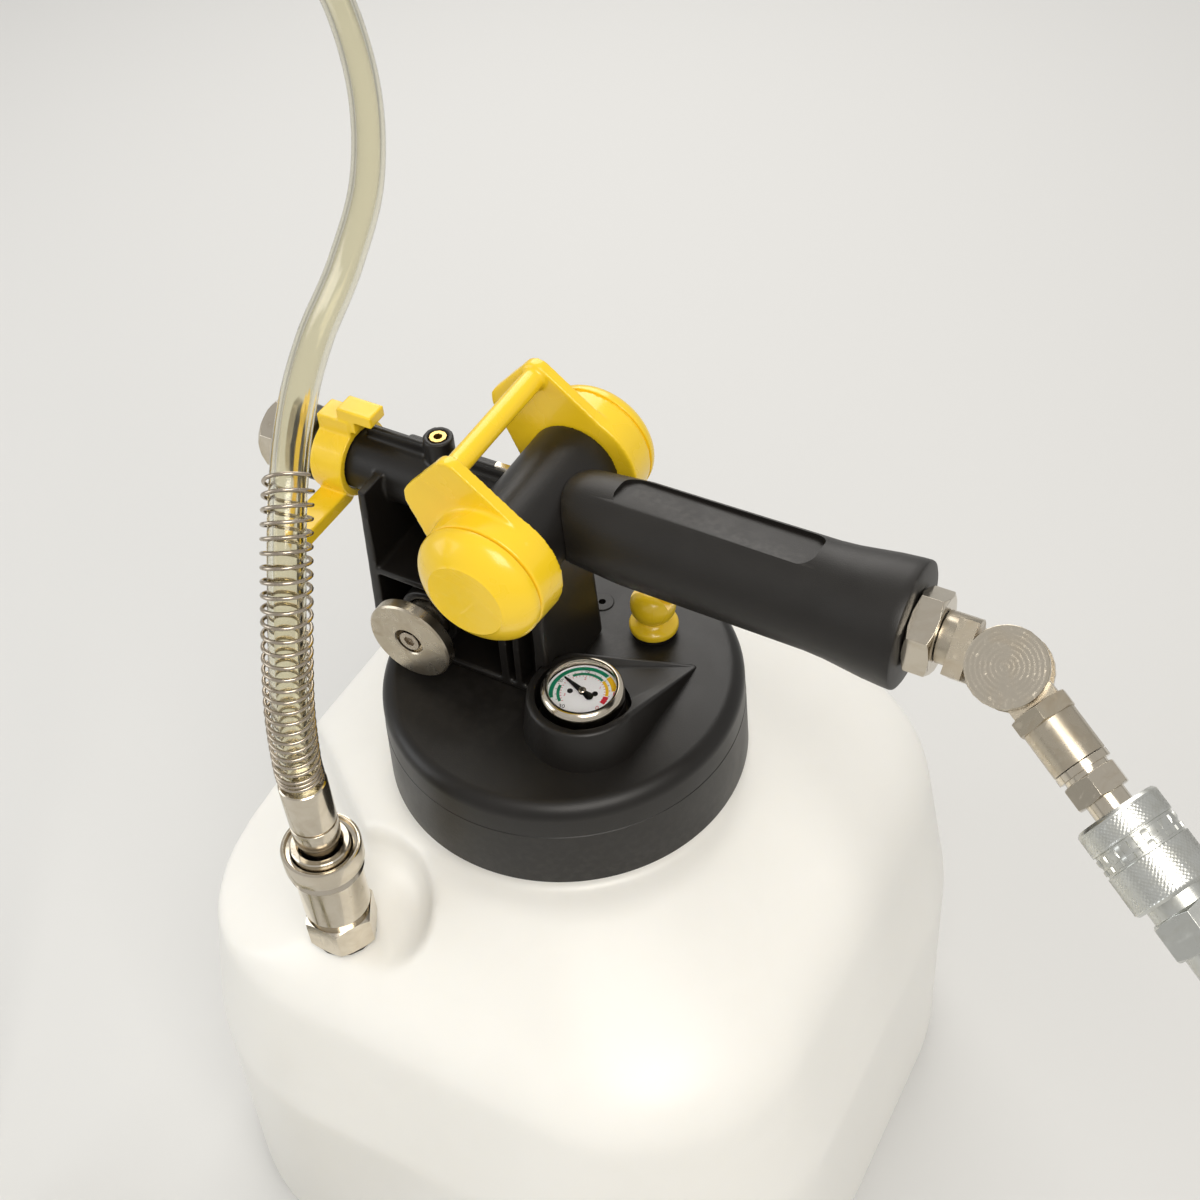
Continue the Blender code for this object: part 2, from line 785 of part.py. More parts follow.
def build_tank():
    """Hollow reservoir: outer shape less pocket, less the same shape one wall further in."""
    tank = add_object("reservoir_tank", lofted("reservoir_tank", tank_loops(0)), milky_plastic("tank_white"))
    hollow = add_object("tank_hollow_guide", lofted("tank_hollow_guide", tank_loops(TANK_WALL)), None)
    for body, grow, tag in ((tank, 0, "outer"), (hollow, TANK_WALL, "inner")):
        cut(body, step_cutter(f"step_guide_{tag}", grow))
        cut(body, bowl_cutter(f"bowl_guide_{tag}", grow))
    half_facet = math.pi / STEPS_SMALL
    pad = rod("pad_guide", PAD_RADIUS, SHELF_Z - PAD_DEPTH, NECK_TOP_Z, STEPS_SMALL)
    cut(hollow, add_object("pad_guide", pad, None, None, (SOCKET_X, SOCKET_Y, 0), (0, 0, half_facet)))
    bore_low = TANK_SHOULDER_Z - TANK_WALL * 8
    bore = rod("neck_bore_guide", NECK_BORE, bore_low, NECK_TOP_Z + OVERRUN, STEPS_LARGE)
    join(hollow, add_object("neck_bore_guide", bore, None))
    stem_hole = rod(
        "stem_hole_guide",
        SOCKET_STEM_RADIUS + GAP,
        SHELF_Z - PAD_DEPTH - OVERRUN,
        SHELF_Z + OVERRUN,
        STEPS_SMALL,
    )
    join(hollow, add_object("stem_hole_guide", stem_hole, None, location=(SOCKET_X, SOCKET_Y, 0)))
    neck_low = TANK_SHOULDER_Z - TANK_WALL * 6
    neck = rod("neck_guide", NECK_RADIUS, neck_low, NECK_TOP_Z, STEPS_LARGE)
    join(tank, add_object("neck_guide", neck, None))
    cut(tank, hollow)
    return tank


def build_gasket():
    low = NECK_TOP_Z + GAP
    high = CEILING_Z - GAP
    profile = [(GASKET_BORE, low), (GASKET_RADIUS, low), (GASKET_RADIUS, high), (GASKET_BORE, high)]
    return add_object("neck_gasket", turned("neck_gasket", profile, STEPS_LARGE), rubber("gasket_black"))


def lid_profile():
    """Skirt, rounded shoulder, flat top, then the bore that clears the neck."""
    rim = LID_RIM_Z
    shoulder = arc(
        LID_TOP_RADIUS - LID_FILLET, LID_TOP_Z - LID_FILLET, LID_FILLET, 0, math.pi / 2, FILLET_STEPS
    )
    return [(0, CEILING_Z), (LID_BORE, CEILING_Z), (LID_BORE, rim), (LID_RIM_RADIUS, rim), *shoulder, (0, LID_TOP_Z)]


def teardrop_rows(grow):
    """Outline of the gauge boss at its foot and top: a circle drawn out to a low tail."""
    tail = (BOSS_TAIL_X - GAUGE_X, BOSS_TAIL_Y - GAUGE_Y)
    foot = hull_outline([(0, 0, BOSS_FOOT_RADIUS + grow), (*tail, BOSS_TAIL_RADIUS + grow)], STEPS_MEDIUM)
    length = math.hypot(*tail)
    share = BOSS_RADIUS / BOSS_FOOT_RADIUS
    high = []
    for x, y in foot:
        along = max(0.0, (x * tail[0] + y * tail[1]) / length / length)
        radial = math.hypot(x, y)
        start = BOSS_RADIUS / length
        fall = max(0.0, (along - start) / (1 - start))
        drop = fall * (BOSS_RISE - BOSS_TAIL_RISE)
        keep = share if radial <= (BOSS_FOOT_RADIUS + grow) * 1.02 else 1 - (1 - share) * (1 - fall)
        high.append((x * keep, y * keep, LID_TOP_Z + BOSS_RISE + grow - drop))
    return [(x, y, LID_TOP_Z - LID_ROOF / 2) for x, y in foot], high


def build_boss_guide(name, grow):
    """Gauge boss as a lofted teardrop whose top slopes down along its tail."""
    foot, high = teardrop_rows(grow)
    shape = bmesh.new()
    low_ring = [shape.verts.new(p) for p in foot]
    high_ring = [shape.verts.new(p) for p in high]
    centre = shape.verts.new((0, 0, LID_TOP_Z + BOSS_RISE + grow))
    count = len(foot)
    for k in range(count):
        after = (k + 1) % count
        shape.faces.new((low_ring[k], low_ring[after], high_ring[after], high_ring[k]))
        shape.faces.new((high_ring[k], high_ring[after], centre))
    shape.faces.new(low_ring)
    return add_object(name, to_mesh(name, shape), None, location=(GAUGE_X, GAUGE_Y, 0))


def build_lid():
    lid = add_object("lid", turned("lid", lid_profile(), STEPS_LARGE), black_plastic("lid_black"))
    join(lid, build_boss_guide("boss_guide", 0))
    pad = turned(
        "vent_pad_guide",
        [
            (0, LID_TOP_Z - LID_ROOF / 2),
            (VENT_PAD_RADIUS, LID_TOP_Z - LID_ROOF / 2),
            (VENT_PAD_RADIUS, LID_TOP_Z + VENT_PAD_RISE),
            (0, LID_TOP_Z + VENT_PAD_RISE),
        ],
        STEPS_SMALL,
    )
    join(lid, add_object("vent_pad_guide", pad, None, location=(VENT_HOLE_X, VENT_HOLE_Y, 0)))
    top = LID_TOP_Z + BOSS_RISE
    recess = rod("gauge_recess_guide", BOSS_RECESS_RADIUS, top - BOSS_RECESS_DEPTH, top + OVERRUN, STEPS_MEDIUM)
    cut(lid, add_object("gauge_recess_guide", recess, None, location=(GAUGE_X, GAUGE_Y, 0)))
    below = CEILING_Z - OVERRUN
    hole = rod("vent_hole_guide", VENT_HOLE_RADIUS, below, LID_TOP_Z + OVERRUN, STEPS_TINY)
    cut(lid, add_object("vent_hole_guide", hole, None, location=(VENT_HOLE_X, VENT_HOLE_Y, 0)), "MANIFOLD")
    bore = rod("relief_hole_guide", RELIEF_BORE, below, LID_TOP_Z + OVERRUN, STEPS_SMALL)
    cut(lid, add_object("relief_hole_guide", bore, None, location=(RELIEF_X, RELIEF_Y, 0)), "MANIFOLD")
    port = rod("port_hole_guide", PORT_SEAL_BORE, below, LID_TOP_Z + OVERRUN, STEPS_SMALL)
    cut(lid, add_object("port_hole_guide", port, None), "MANIFOLD")
    return lid


def build_gauge():
    """Case, dial, needle, lens and bezel, seated in the teardrop boss."""
    axis = add_frame("gauge_axis", (GAUGE_X, GAUGE_Y, 0))
    floor = LID_TOP_Z + BOSS_RISE - BOSS_RECESS_DEPTH + GAP
    top = LID_TOP_Z + BOSS_RISE + GAUGE_STAND
    bezel_low = top - BEZEL_DEPTH
    case_radius = GAUGE_RADIUS - BEZEL_WALL - GAP
    case_inner = case_radius - GAUGE_CASE_WALL
    dial_z = top - DIAL_DROP
    ledge = dial_z - DIAL_THICKNESS - GAP
    case = turned(
        "gauge_case",
        [
            (0, floor),
            (GAUGE_RADIUS, floor),
            (GAUGE_RADIUS, bezel_low - GAP),
            (case_radius, bezel_low - GAP),
            (case_radius, ledge),
            (case_inner, ledge),
            (case_inner, floor + GAUGE_CASE_WALL),
            (0, floor + GAUGE_CASE_WALL),
        ],
        STEPS_MEDIUM,
    )
    add_object("gauge_case", case, black_plastic("gauge_case_black"), axis)
    lens_high = top - BEZEL_WALL / 2 - GAP
    lens_low = lens_high - LENS_THICKNESS
    lip = DIAL_RADIUS
    bezel = turned(
        "gauge_bezel",
        [
            (GAUGE_RADIUS - BEZEL_WALL, bezel_low),
            (GAUGE_RADIUS, bezel_low),
            (GAUGE_RADIUS, top - BEZEL_WALL / 2),
            (GAUGE_RADIUS - BEZEL_WALL / 2, top),
            (lip - BEZEL_WALL / 4, top),
            (lip - BEZEL_WALL / 2, lens_high + GAP),
            (GAUGE_RADIUS - BEZEL_WALL, lens_high + GAP),
        ],
        STEPS_MEDIUM,
    )
    add_object("gauge_bezel", bezel, plated_steel("bezel_nickel"), axis)
    lens = rod("gauge_lens", lip, lens_low, lens_high, STEPS_MEDIUM)
    add_object("gauge_lens", lens, clear_lens("lens_clear"), axis)
    hole = PINION_RADIUS + PINION_CLEARANCE
    dial = turned(
        "gauge_dial",
        [
            (hole, dial_z - DIAL_THICKNESS),
            (DIAL_RADIUS, dial_z - DIAL_THICKNESS),
            (DIAL_RADIUS, dial_z),
            (hole, dial_z),
        ],
        STEPS_MEDIUM,
    )
    add_object("gauge_dial", dial, white_dial("dial_white"), axis)
    needle_axis = add_frame("needle_axis", (0, 0, dial_z + GAP), (0, 0, NEEDLE_BEARING), axis)
    build_needle(needle_axis, floor + GAUGE_CASE_WALL + GAP - dial_z - GAP)


def build_needle(axis, pinion_low):
    """Tapered pointer with a round counterweight on its hub and pinion."""
    outline = hull_outline(
        [(0, 0, NEEDLE_WIDTH), (NEEDLE_LENGTH - NEEDLE_WIDTH / 4, 0, NEEDLE_WIDTH / 4)], STEPS_TINY
    )
    rise = NEEDLE_HUB_HEIGHT / 3
    needle = add_object(
        "gauge_needle", extruded("gauge_needle", outline, rise, rise + NEEDLE_THICKNESS), rubber("needle_black"), axis
    )
    weight = hull_outline(
        [(0, 0, NEEDLE_WIDTH / 2), (-NEEDLE_TAIL + NEEDLE_WEIGHT_RADIUS, 0, NEEDLE_WEIGHT_RADIUS)], STEPS_TINY
    )
    join(needle, add_object("weight_guide", extruded("weight_guide", weight, rise, rise + NEEDLE_THICKNESS), None, axis))
    hub = turned(
        "needle_hub_guide",
        [
            (0, pinion_low),
            (PINION_RADIUS, pinion_low),
            (PINION_RADIUS, 0),
            (NEEDLE_HUB_RADIUS, 0),
            (NEEDLE_HUB_RADIUS, NEEDLE_HUB_HEIGHT),
            (0, NEEDLE_HUB_HEIGHT),
        ],
        STEPS_TINY,
    )
    join(needle, add_object("needle_hub_guide", hub, None, axis))


def build_relief_valve():
    """Pull-up relief valve: yellow notched cup on a flange, its seat ring and the sealing disc below the lid."""
    axis = add_frame("relief_axis", (RELIEF_X, RELIEF_Y, LID_TOP_Z))
    seat = turned(
        "relief_seat",
        [
            (RELIEF_BORE, GAP),
            (RELIEF_SEAT_RADIUS, GAP),
            (RELIEF_SEAT_RADIUS, RELIEF_SEAT_RISE),
            (RELIEF_BORE, RELIEF_SEAT_RISE),
        ],
        STEPS_SMALL,
    )
    add_object("relief_seat", seat, black_plastic("relief_seat_black"), axis)
    flange_low = RELIEF_SEAT_RISE + GAP
    neck_low = flange_low + RELIEF_FLANGE_THICKNESS
    neck_high = neck_low + RELIEF_NECK_RISE
    bowl = arc(0, neck_high + RELIEF_BOWL_RADIUS, RELIEF_BOWL_RADIUS, math.radians(-50), 0, FILLET_STEPS)
    cap_top = flange_low + RELIEF_CAP_HEIGHT
    stem_low = -LID_ROOF - GAP - RELIEF_LIFT
    profile = [
        (0, stem_low),
        (RELIEF_STEM_RADIUS, stem_low),
        (RELIEF_STEM_RADIUS, flange_low),
        (RELIEF_FLANGE_RADIUS, flange_low),
        (RELIEF_FLANGE_RADIUS, neck_low),
        (RELIEF_NECK_RADIUS, neck_low),
        *bowl,
        (RELIEF_BOWL_RADIUS, cap_top),
        (0, cap_top),
    ]
    cap = add_object("relief_cap", turned("relief_cap", profile, STEPS_SMALL), yellow_plastic("relief_yellow"), axis)
    notch_low = cap_top - RELIEF_NOTCH_DEPTH
    half = RELIEF_NOTCH_WIDTH / 2
    reach = RELIEF_BOWL_RADIUS + OVERRUN
    notch = [(-reach, -half), (reach, -half), (reach, half), (-reach, half)]
    cut(cap, add_object("notch_guide", extruded("notch_guide", notch, notch_low, cap_top + OVERRUN), None, axis))
    disc_high = stem_low - GAP
    disc = rod("relief_disc", RELIEF_DISC_RADIUS, disc_high - RELIEF_DISC_THICKNESS, disc_high, STEPS_SMALL)
    add_object("relief_disc", disc, rubber("relief_disc_black"), axis)


def build_float():
    """Slotted cage under the lid, with the float that rises and shuts the port."""
    high = CEILING_Z - GAP
    seal_low = high - PORT_SEAL_THICKNESS
    seal = turned(
        "port_seal",
        [(PORT_SEAL_BORE, seal_low), (PORT_SEAL_RADIUS, seal_low), (PORT_SEAL_RADIUS, high), (PORT_SEAL_BORE, high)],
        STEPS_SMALL,
    )
    add_object("port_seal", seal, rubber("port_seal_black"))
    inner = CAGE_RADIUS - CAGE_WALL
    low = seal_low - 2 * GAP - FLOAT_LIFT - FLOAT_LENGTH - CAGE_WALL
    profile = [
        (0, low),
        (CAGE_RADIUS, low),
        (CAGE_RADIUS, high - CAGE_FLANGE),
        (CAGE_FLANGE_RADIUS, high - CAGE_FLANGE),
        (CAGE_FLANGE_RADIUS, high),
        (inner, high),
        (inner, low + CAGE_WALL),
        (0, low + CAGE_WALL),
    ]
    cage = add_object("float_cage", turned("float_cage", profile, STEPS_SMALL), black_plastic("cage_black"))
    slot_low = low + 2 * CAGE_WALL
    slot_high = high - 3 * CAGE_FLANGE
    half = CAGE_SLOT_WIDTH / 2
    reach = CAGE_RADIUS + OVERRUN
    slot = [(-reach, -half), (reach, -half), (reach, half), (-reach, half)]
    for k in range(CAGE_SLOTS // 2):
        name = f"cage_slot_guide_{k + 1}"
        guide = add_object(name, extruded(name, slot, slot_low, slot_high), None)
        guide.rotation_euler = (0, 0, math.tau * k / CAGE_SLOTS)
        cut(cage, guide)
    bottom = low + CAGE_WALL + GAP
    edge = FLOAT_RADIUS / 4
    bob = turned(
        "float_bob",
        [
            (0, bottom),
            (FLOAT_RADIUS - edge, bottom),
            (FLOAT_RADIUS, bottom + edge),
            (FLOAT_RADIUS, bottom + FLOAT_LENGTH - edge),
            (PORT_SEAL_BORE, bottom + FLOAT_LENGTH),
            (0, bottom + FLOAT_LENGTH),
        ],
        STEPS_SMALL,
    )
    add_object("float_bob", bob, white_dial("float_white"))


def box_guide(name, low, high, parent=None):
    """Plain block by two corners."""
    outline = [(low[0], low[1]), (high[0], low[1]), (high[0], high[1]), (low[0], high[1])]
    return add_object(name, extruded(name, outline, low[2], high[2]), None, parent)


def drafted_block(name, low, high, draft):
    """Block whose foot is wider than its top by the draft on each side."""
    foot = [
        (low[0] - draft, low[1] - draft, low[2]),
        (high[0] + draft, low[1] - draft, low[2]),
        (high[0] + draft, high[1] + draft, low[2]),
        (low[0] - draft, high[1] + draft, low[2]),
    ]
    top = [(low[0], low[1], high[2]), (high[0], low[1], high[2]), (high[0], high[1], high[2]), (low[0], high[1], high[2])]
    return add_object(name, lofted(name, [foot, top]), None)


def build_housing():
    """Pylon with open ribbed front, cross barrel, left tube with rail and bosses, as one moulding."""
    foot = LID_TOP_Z + GAP
    housing = drafted_block(
        "head_housing", (PYLON_LEFT, PYLON_FRONT, foot), (PYLON_RIGHT, PYLON_BACK, PYLON_TOP_Z), PYLON_DRAFT
    )
    housing.data.materials.append(black_plastic("housing_black"))
    front = PYLON_FRONT - PYLON_DRAFT - OVERRUN
    back = PYLON_BACK - PYLON_BACK_WALL
    open_top = PYLON_TOP_Z + OVERRUN
    under_tube = TUBE_Z - TUBE_RADIUS
    left = PYLON_LEFT + PYLON_WALL
    column = PYLON_COLUMN_LEFT
    cells = [
        ("cell_upper_guide", left, column - PYLON_WALL, PYLON_SHELF_Z + PYLON_SHELF, open_top),
        ("cell_lower_guide", left, column - PYLON_WALL, foot + PYLON_FOOT_RISE, PYLON_SHELF_Z),
        ("cell_rib_left_guide", column, PYLON_RIB_X - PYLON_RIB, foot + PYLON_FOOT_RISE, under_tube - PYLON_WALL),
        ("cell_rib_right_guide", PYLON_RIB_X, PYLON_RIGHT - PYLON_WALL, foot + PYLON_FOOT_RISE, under_tube - PYLON_WALL),
    ]
    for name, from_x, to_x, low, high in cells:
        deep = back if from_x == left else PYLON_COLUMN_FRONT + PYLON_WALL
        cut(housing, box_guide(name, (from_x, front, low), (to_x, deep, high)))
    barrel_axis = add_frame("housing_barrel_axis", (0, 0, BARREL_Z), (math.pi / 2, 0, 0))
    tube_axis = add_frame("housing_tube_axis", (0, TUBE_Y, TUBE_Z), (0, math.pi / 2, 0))
    barrel = rod("barrel_guide", BARREL_RADIUS, -BARREL_BACK, BARREL_FRONT, STEPS_MEDIUM)
    join(housing, add_object("barrel_guide", barrel, None, barrel_axis))
    tube = turned(
        "tube_guide",
        [
            (0, TUBE_END_X),
            (TUBE_COLLAR_RADIUS, TUBE_END_X),
            (TUBE_COLLAR_RADIUS, TUBE_END_X + TUBE_COLLAR_LENGTH),
            (TUBE_RADIUS, TUBE_END_X + TUBE_COLLAR_LENGTH),
            (TUBE_RADIUS, 0),
            (0, 0),
        ],
        STEPS_MEDIUM,
    )
    join(housing, add_object("tube_guide", tube, None, tube_axis))
    rail = box_guide(
        "rail_guide",
        (RAIL_END_X, RAIL_Y - RAIL_WIDTH / 2, TUBE_Z - TUBE_RADIUS / 3),
        (-BARREL_RADIUS / 2, RAIL_Y + RAIL_WIDTH / 2, TUBE_Z + RAIL_TOP),
    )
    join(housing, rail)
    boss_low = TUBE_Z - TUBE_RADIUS / 4
    boss = rod("insert_boss_guide", INSERT_BOSS_RADIUS, boss_low, TUBE_Z + INSERT_BOSS_TOP, STEPS_SMALL)
    join(housing, add_object("insert_boss_guide", boss, None, location=(INSERT_X, INSERT_Y, 0)))
    selector_axis = add_frame("housing_selector_axis", (SELECTOR_X, 0, SELECTOR_Z), (math.pi / 2, 0, 0))
    boss = rod("selector_boss_guide", SELECTOR_BOSS_RADIUS, -PYLON_BACK + PYLON_BACK_WALL / 2, -SELECTOR_BOSS_FRONT, STEPS_SMALL)
    join(housing, add_object("selector_boss_guide", boss, None, selector_axis))
    cut(housing, build_boss_guide("boss_clearance_guide", GAP), "MANIFOLD")
    bore = rod("tube_bore_guide", TUBE_BORE, TUBE_END_X - OVERRUN, TUBE_BORE_END_X, STEPS_SMALL)
    cut(housing, add_object("tube_bore_guide", bore, None, tube_axis), "MANIFOLD")
    bore = rod("barrel_bore_guide", BARREL_BORE, -BARREL_BACK - OVERRUN, BARREL_FRONT + OVERRUN, STEPS_MEDIUM)
    cut(housing, add_object("barrel_bore_guide", bore, None, barrel_axis), "MANIFOLD")
    bore = rod("spool_bore_guide", SPOOL_BORE, -SPOOL_BACK, -SELECTOR_BOSS_FRONT + OVERRUN, STEPS_SMALL)
    cut(housing, add_object("spool_bore_guide", bore, None, selector_axis), "MANIFOLD")
    top = TUBE_Z + INSERT_BOSS_TOP
    hole = rod("insert_hole_guide", INSERT_RADIUS + GAP, top - INSERT_DEPTH, top + OVERRUN, STEPS_TINY)
    cut(housing, add_object("insert_hole_guide", hole, None, location=(INSERT_X, INSERT_Y, 0)), "MANIFOLD")
    insert_low = top - INSERT_DEPTH + GAP
    insert = turned(
        "rail_insert",
        [
            (INSERT_RADIUS / 2, insert_low),
            (INSERT_RADIUS, insert_low),
            (INSERT_RADIUS, top),
            (INSERT_RADIUS / 2, top),
        ],
        STEPS_TINY,
    )
    add_object("rail_insert", insert, brass("insert_brass"), location=(INSERT_X, INSERT_Y, 0))
    return housing


def build_air_path():
    """Nozzle and diffuser in the left tube, with the hex muffler and its element on the tube's end."""
    axis = add_frame("tube_axis", (0, TUBE_Y, TUBE_Z), (0, math.pi / 2, 0))
    high = TUBE_BORE_END_X - GAP
    low = high - NOZZLE_LENGTH
    nozzle = turned(
        "venturi_nozzle",
        [
            (NOZZLE_THROAT, low),
            (NOZZLE_RADIUS / 2, low),
            (NOZZLE_RADIUS, low + NOZZLE_LENGTH / 2),
            (NOZZLE_RADIUS, high),
            (NOZZLE_RADIUS / 2, high),
        ],
        STEPS_SMALL,
    )
    add_object("venturi_nozzle", nozzle, brass("nozzle_brass"), axis)
    high = low - DIFFUSER_GAP
    low = high - DIFFUSER_LENGTH
    diffuser = turned(
        "venturi_diffuser",
        [
            (DIFFUSER_MOUTH, low),
            (NOZZLE_RADIUS, low),
            (NOZZLE_RADIUS, high),
            (DIFFUSER_MOUTH, high),
            (DIFFUSER_THROAT, high - DIFFUSER_LENGTH / 4),
        ],
        STEPS_SMALL,
    )
    add_object("venturi_diffuser", diffuser, brass("diffuser_brass"), axis)
    end = TUBE_END_X - GAP
    outline = polygon(MUFFLER_ACROSS)
    muffler = add_object(
        "muffler", extruded("muffler", outline, end - MUFFLER_LENGTH, end), plated_steel("muffler_nickel"), axis
    )
    reach = MUFFLER_ACROSS / 2 / math.cos(math.pi / 6)
    chamfer = turned(
        "muffler_chamfer_guide",
        [
            (0, end - MUFFLER_LENGTH),
            (MUFFLER_ACROSS / 2, end - MUFFLER_LENGTH),
            (reach, end - MUFFLER_LENGTH + MUFFLER_CHAMFER),
            (reach, end - MUFFLER_CHAMFER / 2),
            (MUFFLER_ACROSS / 2, end),
            (0, end),
        ],
        STEPS_MEDIUM,
    )
    combine(muffler, add_object("muffler_chamfer_guide", chamfer, None, axis), "INTERSECT")
    stem = rod("muffler_stem_guide", MUFFLER_STEM_RADIUS, end - MUFFLER_CHAMFER, end + MUFFLER_STEM_LENGTH, STEPS_SMALL)
    join(muffler, add_object("muffler_stem_guide", stem, None, axis))
    bore_low = end - MUFFLER_LENGTH - OVERRUN
    bore = rod("muffler_bore_guide", MUFFLER_BORE, bore_low, end + MUFFLER_STEM_LENGTH + OVERRUN, STEPS_SMALL)
    cut(muffler, add_object("muffler_bore_guide", bore, None, axis))
    element_low = end - MUFFLER_LENGTH + MUFFLER_CHAMFER / 2
    element = rod("muffler_element", ELEMENT_RADIUS, element_low, element_low + ELEMENT_LENGTH, STEPS_SMALL)
    add_object("muffler_element", element, sintered_bronze("element_bronze"), axis)


def build_clip():
    """Yellow C-shaped clip round the left tube, with a hook over the rail and a finger lever to the front."""
    axis = add_frame("clip_axis", (CLIP_CENTRE_X, TUBE_Y, TUBE_Z), (math.pi / 2, 0, math.pi / 2))
    sweep_steps = STEPS_SMALL
    start = CLIP_MOUTH_TO - math.tau
    outer = arc(0, 0, CLIP_RADIUS, start, CLIP_MOUTH_FROM, sweep_steps)
    inner = arc(0, 0, CLIP_BORE, CLIP_MOUTH_FROM, start, sweep_steps)
    half = CLIP_WIDTH / 2
    yellow = yellow_plastic("clip_yellow")
    clip = add_object("tube_clip", extruded("tube_clip", outer + inner, -half, half), yellow, axis)
    seat = (CLIP_BORE + CLIP_RADIUS) / 2
    block_half = CLIP_BLOCK_WIDTH / 2
    block = [(-block_half, seat), (block_half, seat), (block_half, CLIP_BLOCK_TOP), (-block_half, CLIP_BLOCK_TOP)]
    join(clip, add_object("clip_block_guide", extruded("clip_block_guide", block, -half, half), None, axis))
    hook_half = CLIP_HOOK_WIDTH / 2
    hook_low = CLIP_HOOK_TOP - CLIP_HOOK_THICKNESS
    riser = [
        (-hook_half, CLIP_BLOCK_TOP - CLIP_HOOK_THICKNESS),
        (hook_half, CLIP_BLOCK_TOP - CLIP_HOOK_THICKNESS),
        (hook_half, CLIP_HOOK_TOP),
        (-hook_half, CLIP_HOOK_TOP),
    ]
    riser_start = half - CLIP_HOOK_THICKNESS
    riser_end = half + CLIP_HOOK_THICKNESS / 2
    join(clip, add_object("clip_riser_guide", extruded("clip_riser_guide", riser, riser_start, riser_end), None, axis))
    hook = [(-hook_half, hook_low), (hook_half, hook_low), (hook_half, CLIP_HOOK_TOP), (-hook_half, CLIP_HOOK_TOP)]
    hook_end = half + CLIP_HOOK_REACH
    join(clip, add_object("clip_hook_guide", extruded("clip_hook_guide", hook, riser_start, hook_end), None, axis))
    thick = CLIP_LEVER_THICKNESS / 2
    seat_y = math.sqrt(seat**2 - CLIP_LEVER_Z**2)
    lever = hull_outline(
        [(-seat_y - thick, CLIP_LEVER_Z, thick), (-seat_y - CLIP_LEVER_LENGTH + thick, CLIP_LEVER_Z, thick)], STEPS_TINY
    )
    join(clip, add_object("clip_lever_guide", extruded("clip_lever_guide", lever, -half * 0.8, half * 0.8), None, axis))
    return clip


def hub_profile(inner, outer):
    """Hub ring, slightly narrower outward, bored to clear the rotor."""
    bore = ROTOR_RADIUS + GAP
    return [(bore, inner), (HUB_RADIUS, inner), (HUB_RADIUS - HUB_TAPER, outer), (bore, outer)]


def build_bail():
    """Yellow bail: two hubs on the barrel's ends, two arms and a round crossbar, with its rotor and caps."""
    axis = add_frame("bail_axis", (0, 0, BARREL_Z), (math.pi / 2, 0, 0))
    front_in = BARREL_FRONT + GAP
    front_out = front_in + HUB_LENGTH
    back_in = -BARREL_BACK - GAP
    back_out = back_in - HUB_LENGTH
    yellow = yellow_plastic("bail_yellow")
    bail = add_object("bail_lever", turned("bail_lever", hub_profile(front_in, front_out), STEPS_MEDIUM), yellow, axis)
    back = turned("back_hub_guide", hub_profile(back_in, back_out), STEPS_MEDIUM)
    join(bail, add_object("back_hub_guide", back, None, axis))
    outline = hull_outline(
        [
            (0, 0, HUB_RADIUS - HUB_TAPER / 2),
            (ARM_LOW_X, ARM_LOW_Z, ARM_LOW_RADIUS),
            (ARM_TOP_X, ARM_TOP_Z, ARM_TOP_RADIUS),
        ],
        STEPS_MEDIUM,
    )
    for name, low, high in (
        ("front_arm_guide", front_in, front_in + ARM_THICKNESS),
        ("back_arm_guide", back_in - ARM_THICKNESS, back_in),
    ):
        arm = add_object(name, extruded(name, outline, low, high), None, axis)
        hole = rod(f"{name}_hole", ROTOR_RADIUS + GAP, low - OVERRUN, high + OVERRUN, STEPS_MEDIUM)
        cut(arm, add_object(f"{name}_hole", hole, None, axis))
        join(bail, arm)
    bar = rod("crossbar_guide", CROSSBAR_RADIUS, back_in - ARM_THICKNESS / 2, front_in + ARM_THICKNESS / 2, STEPS_TINY)
    join(bail, add_object("crossbar_guide", bar, None, axis, (ARM_TOP_X, ARM_TOP_Z, 0)))
    build_rotor(axis, front_out, back_out)
    for name, seat, side in (("front_hub_cap", front_out, 1), ("rear_hub_cap", back_out, -1)):
        dome = arc(
            CAP_FACE_RADIUS, CAP_SEAT, CAP_RADIUS - CAP_FACE_RADIUS, 0, math.pi / 2, FILLET_STEPS
        )
        rise = (CAP_HEIGHT - CAP_SEAT) / (CAP_RADIUS - CAP_FACE_RADIUS)
        profile = [(0, GAP), (CAP_RADIUS, GAP)]
        profile += [(radius, CAP_SEAT + (height - CAP_SEAT) * rise) for radius, height in dome]
        profile += [(0, CAP_HEIGHT)]
        cap = turned(name, profile, STEPS_MEDIUM)
        turn = 0 if side > 0 else math.pi
        add_object(name, cap, yellow_plastic(f"{name}_yellow"), axis, (0, 0, seat), (turn, 0, 0))


def build_rotor(axis, front_out, back_out):
    """Valve rotor through the barrel, with two seal grooves, keyed to both hubs."""
    radius = ROTOR_RADIUS
    groove = radius - SEAL_GROOVE_DEPTH
    half = SEAL_GROOVE_WIDTH / 2
    profile = [(0, back_out + GAP), (radius, back_out + GAP)]
    places = (-BARREL_BACK / 2, BARREL_FRONT / 2)
    for centre in places:
        profile += [(radius, centre - half), (groove, centre - half), (groove, centre + half), (radius, centre + half)]
    profile += [(radius, front_out - GAP), (0, front_out - GAP)]
    add_object("valve_rotor", turned("valve_rotor", profile, STEPS_MEDIUM), zinc("rotor_zinc"), axis)
    for name, centre in zip(("rotor_seal_rear", "rotor_seal_front"), places):
        add_seal(name, axis, groove, centre, BARREL_BORE)


